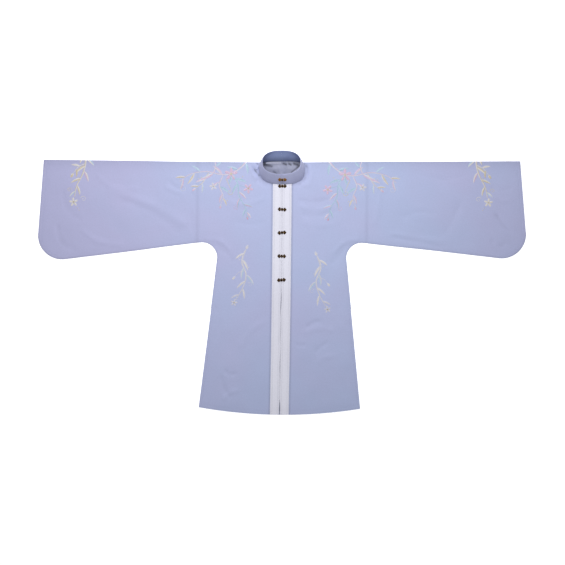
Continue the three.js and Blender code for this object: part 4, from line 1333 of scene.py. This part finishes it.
def shoulder_spray():
    """A flowering branch over the shoulder, with trailing stems down the chest."""
    work = Needlework()
    branch = [(150, 34), (176, -6), (214, -38), (262, -52), (330, -40), (392, -52), (428, -78)]
    work.leafy_stem(branch, 4.9, MIST, PINK, [
        (0.1, 62, 39, 8, SKY), (0.17, -58, 45, 10, (TEAL, SKY)), (0.3, 55, 45, 10, (TEAL, SKY)),
        (0.4, -60, 46, 9, (SKY, TEAL)), (0.52, 48, 51, 10, (MIST, PINK)), (0.6, -46, 54, 11, (PINK, MIST)),
        (0.72, 50, 45, 8, SKY), (0.78, -50, 51, 10, (MIST, GOLD)), (0.9, 40, 39, 8, (GOLD, MIST)),
        (0.95, -42, 42, 8, (PINK, MIST)),
    ])
    work.leafy_stem([(228, -44), (206, -86), (200, -134), (176, -176), (170, -208)], 4.1, TEAL, SKY, [
        (0.15, -50, 45, 10, (TEAL, SKY)), (0.26, 52, 45, 10, (SKY, TEAL)), (0.42, -50, 42, 8, (MIST, PINK)),
        (0.55, 48, 42, 8, (TEAL, PINK)), (0.68, -46, 36, 8, (SKY, PINK)), (0.8, 44, 36, 7, (TEAL, SKY)),
        (0.9, -36, 30, 7, (MIST, PINK)),
    ])
    work.leafy_stem([(262, -54), (276, -92), (262, -132), (270, -164)], 3.8, MIST, PINK, [
        (0.25, 50, 42, 8, (SKY, PINK)), (0.4, -50, 45, 10, (TEAL, SKY)), (0.6, 46, 39, 8, (MIST, PINK)),
        (0.78, -44, 33, 7, (GOLD, MIST)),
    ])
    work.leafy_stem([(316, -44), (340, -82), (368, -104)], 3.5, MIST, GOLD, [
        (0.35, 48, 39, 8, (MIST, PINK)), (0.55, -48, 39, 8, (SKY, MIST)), (0.8, 40, 33, 7, (GOLD, MIST)),
    ])
    work.leafy_stem([(300, -44), (292, -14), (304, 22), (296, 44)], 3.5, MIST, PINK, [
        (0.3, 50, 33, 8, (TEAL, SKY)), (0.6, -50, 36, 8, (MIST, PINK)), (0.85, 44, 30, 7, SKY),
    ])
    work.stem([(196, -24), (186, 6), (200, 36)], 3.2, TEAL)
    work.blossom((232, -48), 25, PINK, ROSE, 20)
    work.blossom((166, -104), 19, PINK, ROSE, 50)
    work.stem([(202, -92), (184, -96), (168, -102)], 2.6, TEAL)
    work.blossom((300, -96), 15, MIST, GOLD, 5)
    work.stem([(272, -84), (288, -88), (298, -94)], 2.6, MIST)
    work.bud((170, -208), -100, 16, ROSE, TEAL)
    work.bud((270, -164), -78, 18, PINK, SKY)
    work.bud((368, -104), -36, 16, PINK, MIST)
    work.bud((296, 44), 96, 15, PINK, TEAL)
    work.bud((200, 36), 62, 14, ROSE, TEAL)
    work.curl((414, -104), 13, 100, -1.4, 2.0, MIST)
    work.curl((236, -118), 11, 160, 1.3, 1.8, GOLD)
    work.curl((214, -176), 9, 200, 1.2, 1.7, PINK)
    work.stem([(252, -64), (240, -92), (232, -112)], 2.6, GOLD)
    work.knots([(196, -66), (188, -58), (346, -62), (356, -66), (246, -150), (252, -158)], 1.9, GOLD)
    return work


def cuff_spray():
    """A bending stem over the sleeve's top, ending in a small blossom."""
    work = Needlework()
    work.leafy_stem([(748, 44), (742, 4), (752, -44), (776, -92), (786, -134)], 4.9, CREAM, GOLD, [
        (0.12, 50, 42, 10, (CREAM, GOLD)), (0.2, -48, 45, 10, (SKY, CREAM)),
        (0.36, 48, 48, 10, (CREAM, GOLD)), (0.48, -46, 45, 10, (CREAM, PINK)),
        (0.62, 44, 42, 8, (GOLD, CREAM)), (0.76, -44, 39, 8, (CREAM, GOLD)),
        (0.88, 44, 33, 7, (SKY, CREAM)),
    ])
    work.leafy_stem([(744, -8), (772, -22), (790, -46)], 3.5, CREAM, None, [
        (0.4, 46, 33, 8, CREAM), (0.7, -44, 30, 7, GOLD),
    ])
    work.blossom((790, -154), 17, CREAM, GOLD, 12)
    work.bud((790, -46), -56, 18, GOLD, CREAM)
    work.bud((748, 44), 100, 16, GOLD, CREAM)
    work.curl((752, -142), 10, 20, 1.3, 1.9, CREAM)
    work.curl((806, -108), 8, 180, -1.2, 1.6, GOLD)
    work.knots([(770, -62), (764, -70), (774, -176), (768, -184)], 1.8, GOLD)
    return work


def lower_front_spray():
    """A slender upright stem on the lower front, with a bud at its top and a blossom at its foot."""
    work = Needlework()
    work.leafy_stem([(134, -356), (148, -404), (132, -456), (146, -508), (172, -552)], 4.6, MIST, CREAM, [
        (0.1, 44, 42, 8, (MIST, CREAM)), (0.22, -42, 48, 10, (MIST, CREAM)), (0.36, 42, 48, 10, (SKY, MIST)),
        (0.5, -42, 48, 10, (MIST, SKY)), (0.62, 42, 45, 8, (CREAM, MIST)), (0.76, -40, 42, 8, (MIST, CREAM)),
        (0.88, 40, 36, 7, MIST),
    ])
    work.stem([(140, -440), (162, -446), (176, -462)], 2.9, MIST)
    work.bud((176, -462), -50, 15, CREAM, MIST)
    work.bud((134, -356), 112, 17, MIST, CREAM)
    work.blossom((178, -562), 13, MIST, CREAM, 30)
    work.curl((118, -492), 9, 30, 1.3, 1.7, MIST)
    work.knots([(160, -398), (166, -390), (124, -426)], 1.7, CREAM)
    return work


# The sprays' shifts on each side, because the picture's are not quite level
SPRAYS = [
    ("shoulder", shoulder_spray, (8, 0), (-36, 4)),
    ("cuff", cuff_spray, (0, 0), (8, 2)),
    ("lower_front", lower_front_spray, (0, 0), (2, 24)),
]


# Materials


# Blender's wave texture repeats after this length at scale 1
WAVE_PERIOD = math.pi / 10
# How much painted shade one unit of painted_shading puts into the cloth's colour
PAINTED_SHADE_STRENGTH = 0.5

# Where the cloth's tint drifts towards the cuffs, in metres from the centre
CUFF_TINT = {"from_x": 0.45, "to_x": 0.8}

# Two tints, the thread's width in millimetres, and what differs from the usual cloth
CLOTHS = {
    "blue_cloth": ("b2bcdf", "b7b8dc", 0.55, {"blotch": 0.6, "lean": -0.45, "cuffs": 0.7}),
    # The collar's blue cloth, a little darker and greyer than the body's as painted shade
    "collar_cloth": ("b2b6d6", "a9acce", 0.55, {"blotch": 0.8, "drift": 14}),
    # The collar's inside: a bluer lining cloth, darkened as painted shade
    "shaded_collar_lining": ("8592bb", "7b86b2", 0.55, {"blotch": 0.9, "drift": 30, "sheen": 0.1}),
    "white_cloth": ("e8e8f5", "e1e0ee", 0.5, {"blotch": 0.6, "sheen": 0.15, "roughness": 0.6}),
    # The facing's pale grey cloth, darkened by painted shade for the collar's shadow, with drifting dark
    # blotches of painted shade
    "facing_cloth": ("a3a6bb", "8b8ea6", 0.7, {"blotch": 0.9, "drift": 22, "sheen": 0.1, "roughness": 0.8}),
    "tape_cloth": ("b6b8cd", "a9abc2", 0.4, {"sheen": 0.1}),
}

# The embroidery's threads, in the order of their names above
THREADS = [
    ("cream_thread", "e9e5e2", "dad5d2"),
    ("gold_thread", "dccfb2", "ccc0a4"),
    ("pink_thread", "d8bed8", "ccb2ce"),
    ("rose_thread", "d6aec8", "caa0be"),
    ("teal_thread", "acc8dc", "a0bed6"),
    ("sky_thread", "c0d4e8", "b2c8e0"),
    ("mist_thread", "d8d7e3", "cccbd9"),
]


class Nodes:
    """A short way to write a material's nodes and links, with _ for a space in an input's name."""

    def __init__(self, name):
        self.material = bpy.data.materials.new(name)
        self.material.use_nodes = True
        self.tree = self.material.node_tree

    def connect(self, node, inputs):
        for key, value in inputs.items():
            socket = node.inputs[key.replace("_", " ") if isinstance(key, str) else key]
            if isinstance(value, bpy.types.NodeSocket):
                self.tree.links.new(value, socket)
            else:
                socket.default_value = value

    def add(self, kind, settings=None, **inputs):
        node = self.tree.nodes.new(f"ShaderNode{kind}")
        for key, value in (settings or {}).items():
            setattr(node, key, value)
        self.connect(node, inputs)
        return node

    def look(self, **inputs):
        """Sets inputs of the shader and returns the finished material."""
        self.connect(self.tree.nodes["Principled BSDF"], inputs)
        return self.material

    def coordinates(self, kind):
        return self.add("TexCoord").outputs[kind]

    def math(self, operation, *values):
        node = self.add("Math", {"operation": operation})
        self.connect(node, dict(enumerate(values)))
        return node.outputs[0]

    def scaled(self, value, factor, plus=0.0):
        return self.math("MULTIPLY_ADD", value, factor, plus)

    def stretched(self, value, low, high, top=1.0):
        """value taken from low to high onto 0 to top."""
        return self.add("MapRange", Value=value, From_Min=low, From_Max=high, To_Max=top).outputs[0]

    def mix(self, factor, a, b, blend="MIX"):
        node = self.add("Mix", {"data_type": "RGBA", "blend_type": blend}, Factor=factor)
        self.connect(node, {6: a, 7: b})
        return node.outputs[2]

    def shaded(self, colour, shade):
        grey = self.add("CombineColor", Red=shade, Green=shade, Blue=shade).outputs[0]
        return self.mix(1.0, colour, grey, "MULTIPLY")

    def noise(self, vector, scale, detail):
        return self.add("TexNoise", Vector=vector, Scale=scale, Detail=detail).outputs["Fac"]

    def threads(self, vector, axis, width):
        """Parallel threads of a width in millimetres, one after another along the axis."""
        settings = {"wave_type": "BANDS", "bands_direction": axis, "wave_profile": "SIN"}
        return self.add("TexWave", settings, Vector=vector, Scale=WAVE_PERIOD / (width * MM)).outputs["Fac"]

    def bump(self, height, strength, distance):
        return self.add("Bump", Height=height, Strength=strength, Distance=distance).outputs[0]


def from_hex(colour):
    """Linear colour from a display colour such as b7c0e3."""
    values = [int(colour[n : n + 2], 16) / 255 for n in (0, 2, 4)]
    return *(v / 12.92 if v <= 0.04045 else ((v + 0.055) / 1.055) ** 2.4 for v in values), 1


def woven(name, colour, second, thread, sheen=0.25, roughness=0.72, blotch=0.5, drift=3.4, lean=0, cuffs=0):
    """Cloth of a plain weave in the piece's own uv, with a slow drift between two tints and fibre-fine
    unevenness. lean adds to the second tint's share for each metre towards the wearer's left, and cuffs adds
    to it at the sleeves' ends. The piece's painted_shading attribute paints shade into the colour, and
    painted light where it is negative."""
    nodes = Nodes(name)
    uv, room = nodes.coordinates("UV"), nodes.coordinates("Object")
    weave = nodes.math("MULTIPLY", nodes.threads(uv, "X", thread), nodes.threads(uv, "Y", thread))
    share = nodes.scaled(nodes.stretched(nodes.noise(room, drift, 2.0), 0.35, 0.65), blotch)
    if lean:
        across = nodes.add("SeparateXYZ", Vector=room).outputs[0]
        share = nodes.scaled(across, lean, share)
        out = nodes.math("ABSOLUTE", across)
        share = nodes.math("ADD", share, nodes.stretched(out, CUFF_TINT["from_x"], CUFF_TINT["to_x"], cuffs))
    shade = nodes.scaled(weave, 0.1, nodes.scaled(nodes.noise(uv, 160, 4.0), 0.12, 0.94))
    # Painted shade from the piece's painted_shading attribute, and painted light where it is negative
    painted_shading = nodes.add("Attribute", {"attribute_name": "painted_shading"}).outputs["Fac"]
    shade = nodes.scaled(painted_shading, -PAINTED_SHADE_STRENGTH, shade)
    relief = nodes.scaled(nodes.noise(uv, 900, 2.0), 0.6, weave)
    return nodes.look(
        Base_Color=nodes.shaded(nodes.mix(share, from_hex(colour), from_hex(second)), shade),
        Roughness=roughness,
        Sheen_Weight=sheen,
        Sheen_Roughness=0.45,
        Specular_IOR_Level=0.25,
        Normal=nodes.bump(relief, 0.25, 0.0002),
    )


def satin_thread(name, colour, second):
    """Embroidery floss: fine parallel threads across each shape, with a silky shine."""
    nodes = Nodes(name)
    uv = nodes.coordinates("UV")
    slanted = nodes.add("Mapping", Vector=uv, Rotation=(0, 0, math.radians(24))).outputs[0]
    threads = nodes.threads(slanted, "X", 0.6)
    mixed = nodes.mix(nodes.noise(uv, 70, 2.0), from_hex(colour), from_hex(second))
    return nodes.look(
        Base_Color=nodes.shaded(mixed, nodes.scaled(threads, 0.24, 0.82)),
        Roughness=0.38,
        Sheen_Weight=0.3,
        Normal=nodes.bump(threads, 0.5, 0.0002),
    )


def aged_metal(name, deep, worn):
    """Cast metal, dark in its hollows and rubbed bright on its high points."""
    nodes = Nodes(name)
    rubbed = nodes.stretched(nodes.add("NewGeometry").outputs["Pointiness"], 0.5, 0.6)
    grime = nodes.noise(nodes.coordinates("Object"), 700, 4.0)
    factor = nodes.math("MULTIPLY", rubbed, nodes.math("ADD", grime, 0.2))
    return nodes.look(
        Base_Color=nodes.mix(factor, from_hex(deep), from_hex(worn)),
        Metallic=0.9,
        Roughness=nodes.scaled(grime, 0.25, 0.25),
        Normal=nodes.bump(grime, 0.2, 0.0003),
    )


def floor_material():
    nodes = Nodes("pale_floor")
    soft = nodes.noise(nodes.coordinates("Object"), 1.5, 2.0)
    return nodes.look(
        Base_Color=nodes.mix(soft, (0.93, 0.93, 0.935, 1), (0.95, 0.95, 0.95, 1)),
        Roughness=0.9,
        Emission_Color=(1, 1, 1, 1),
        Emission_Strength=0.6,
    )


# Stage

# In metres, with the lights' power in watts
FLOOR_HALF = 14
FLOOR_Z = -0.0002
LIGHTS = {
    "key": {"at": (-0.05, 1.18, 1.48), "aim": (0, 0.2, 0), "size": (1.3, 0.8), "power": 22.2},
    "fill": {"at": (-0.25, 0.1, 2.2), "aim": (-0.12, 0.1, 0), "size": (1.6, 1.6), "power": 12},
}


def make_floor():
    corners = [(-FLOOR_HALF, -FLOOR_HALF, 0), (FLOOR_HALF, -FLOOR_HALF, 0)]
    corners += [(FLOOR_HALF, FLOOR_HALF, 0), (-FLOOR_HALF, FLOOR_HALF, 0)]
    floor = new_object("floor", corners, [[0, 1, 2, 3]], smooth=False)
    floor.location.z = FLOOR_Z
    floor.data.materials.append(floor_material())


def add_light(name, at, aim, size, power):
    light = bpy.data.lights.new(name, "AREA")
    light.shape = "RECTANGLE"
    light.size, light.size_y = size
    light.energy = power
    obj = bpy.data.objects.new(name, light)
    bpy.context.collection.objects.link(obj)
    obj.location = at
    run = np.array(aim, float) - np.array(at, float)
    obj.rotation_euler = (math.atan2(math.hypot(run[0], run[1]), -run[2]), 0, math.atan2(-run[0], run[1]))


def make_lights():
    for name, light in LIGHTS.items():
        add_light(name, **light)
    world = bpy.data.worlds.new("studio")
    world.use_nodes = True
    background = world.node_tree.nodes["Background"]
    background.inputs["Color"].default_value = (0.97, 0.98, 1, 1)
    background.inputs["Strength"].default_value = 0.25
    bpy.context.scene.world = world


def make_camera():
    camera = bpy.data.cameras.new("camera")
    camera.sensor_width = SENSOR
    camera.lens = SENSOR * CAMERA_AT[2] / FRAME_WIDTH
    camera.clip_end = 60
    obj = bpy.data.objects.new("camera", camera)
    obj.location = [value * MM for value in CAMERA_AT]
    bpy.context.collection.objects.link(obj)
    bpy.context.scene.camera = obj


def main():
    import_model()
    make_camera()
    make_floor()
    make_lights()
    bpy.context.scene.view_settings.view_transform = "Standard"

    cloth = {name: woven(name, *tints, **look) for name, (*tints, look) in CLOTHS.items()}
    blue_thread = satin_thread("blue_thread", "a4add6", "9ba3cf")
    pale_thread = satin_thread("pale_thread", "c9cbdc", "bfc1d4")
    threads = [satin_thread(*row) for row in THREADS]
    bronze = aged_metal("bronze", "1a100a", "9c7848")
    dark_bronze = aged_metal("dark_bronze", "0d0806", "5a4028")
    gold = aged_metal("gilt", "7a4a1a", "f0bc62")

    for name, side in SIDES.items():
        body = make_body(name, side, [cloth["blue_cloth"]])
        sleeve = make_sleeve(name, side, [cloth["blue_cloth"]])
        collar = make_collar(name, side, [cloth["collar_cloth"], cloth["shaded_collar_lining"]])
        placket = make_placket(name, side, [cloth["white_cloth"]])
        facing = make_facing(name, side, [cloth["facing_cloth"]])
        make_stitches(name, side, [pale_thread, blue_thread])
        for spray_name, spray, left_shift, right_shift in SPRAYS:
            shift = left_shift if side > 0 else right_shift
            spray().finish(f"embroidery_{spray_name}_{name}", side, shift, threads)
        if side < 0:
            neck_tape = make_neck_tape([cloth["tape_cloth"]])
    make_clasps(gold, bronze, dark_bronze)


main()
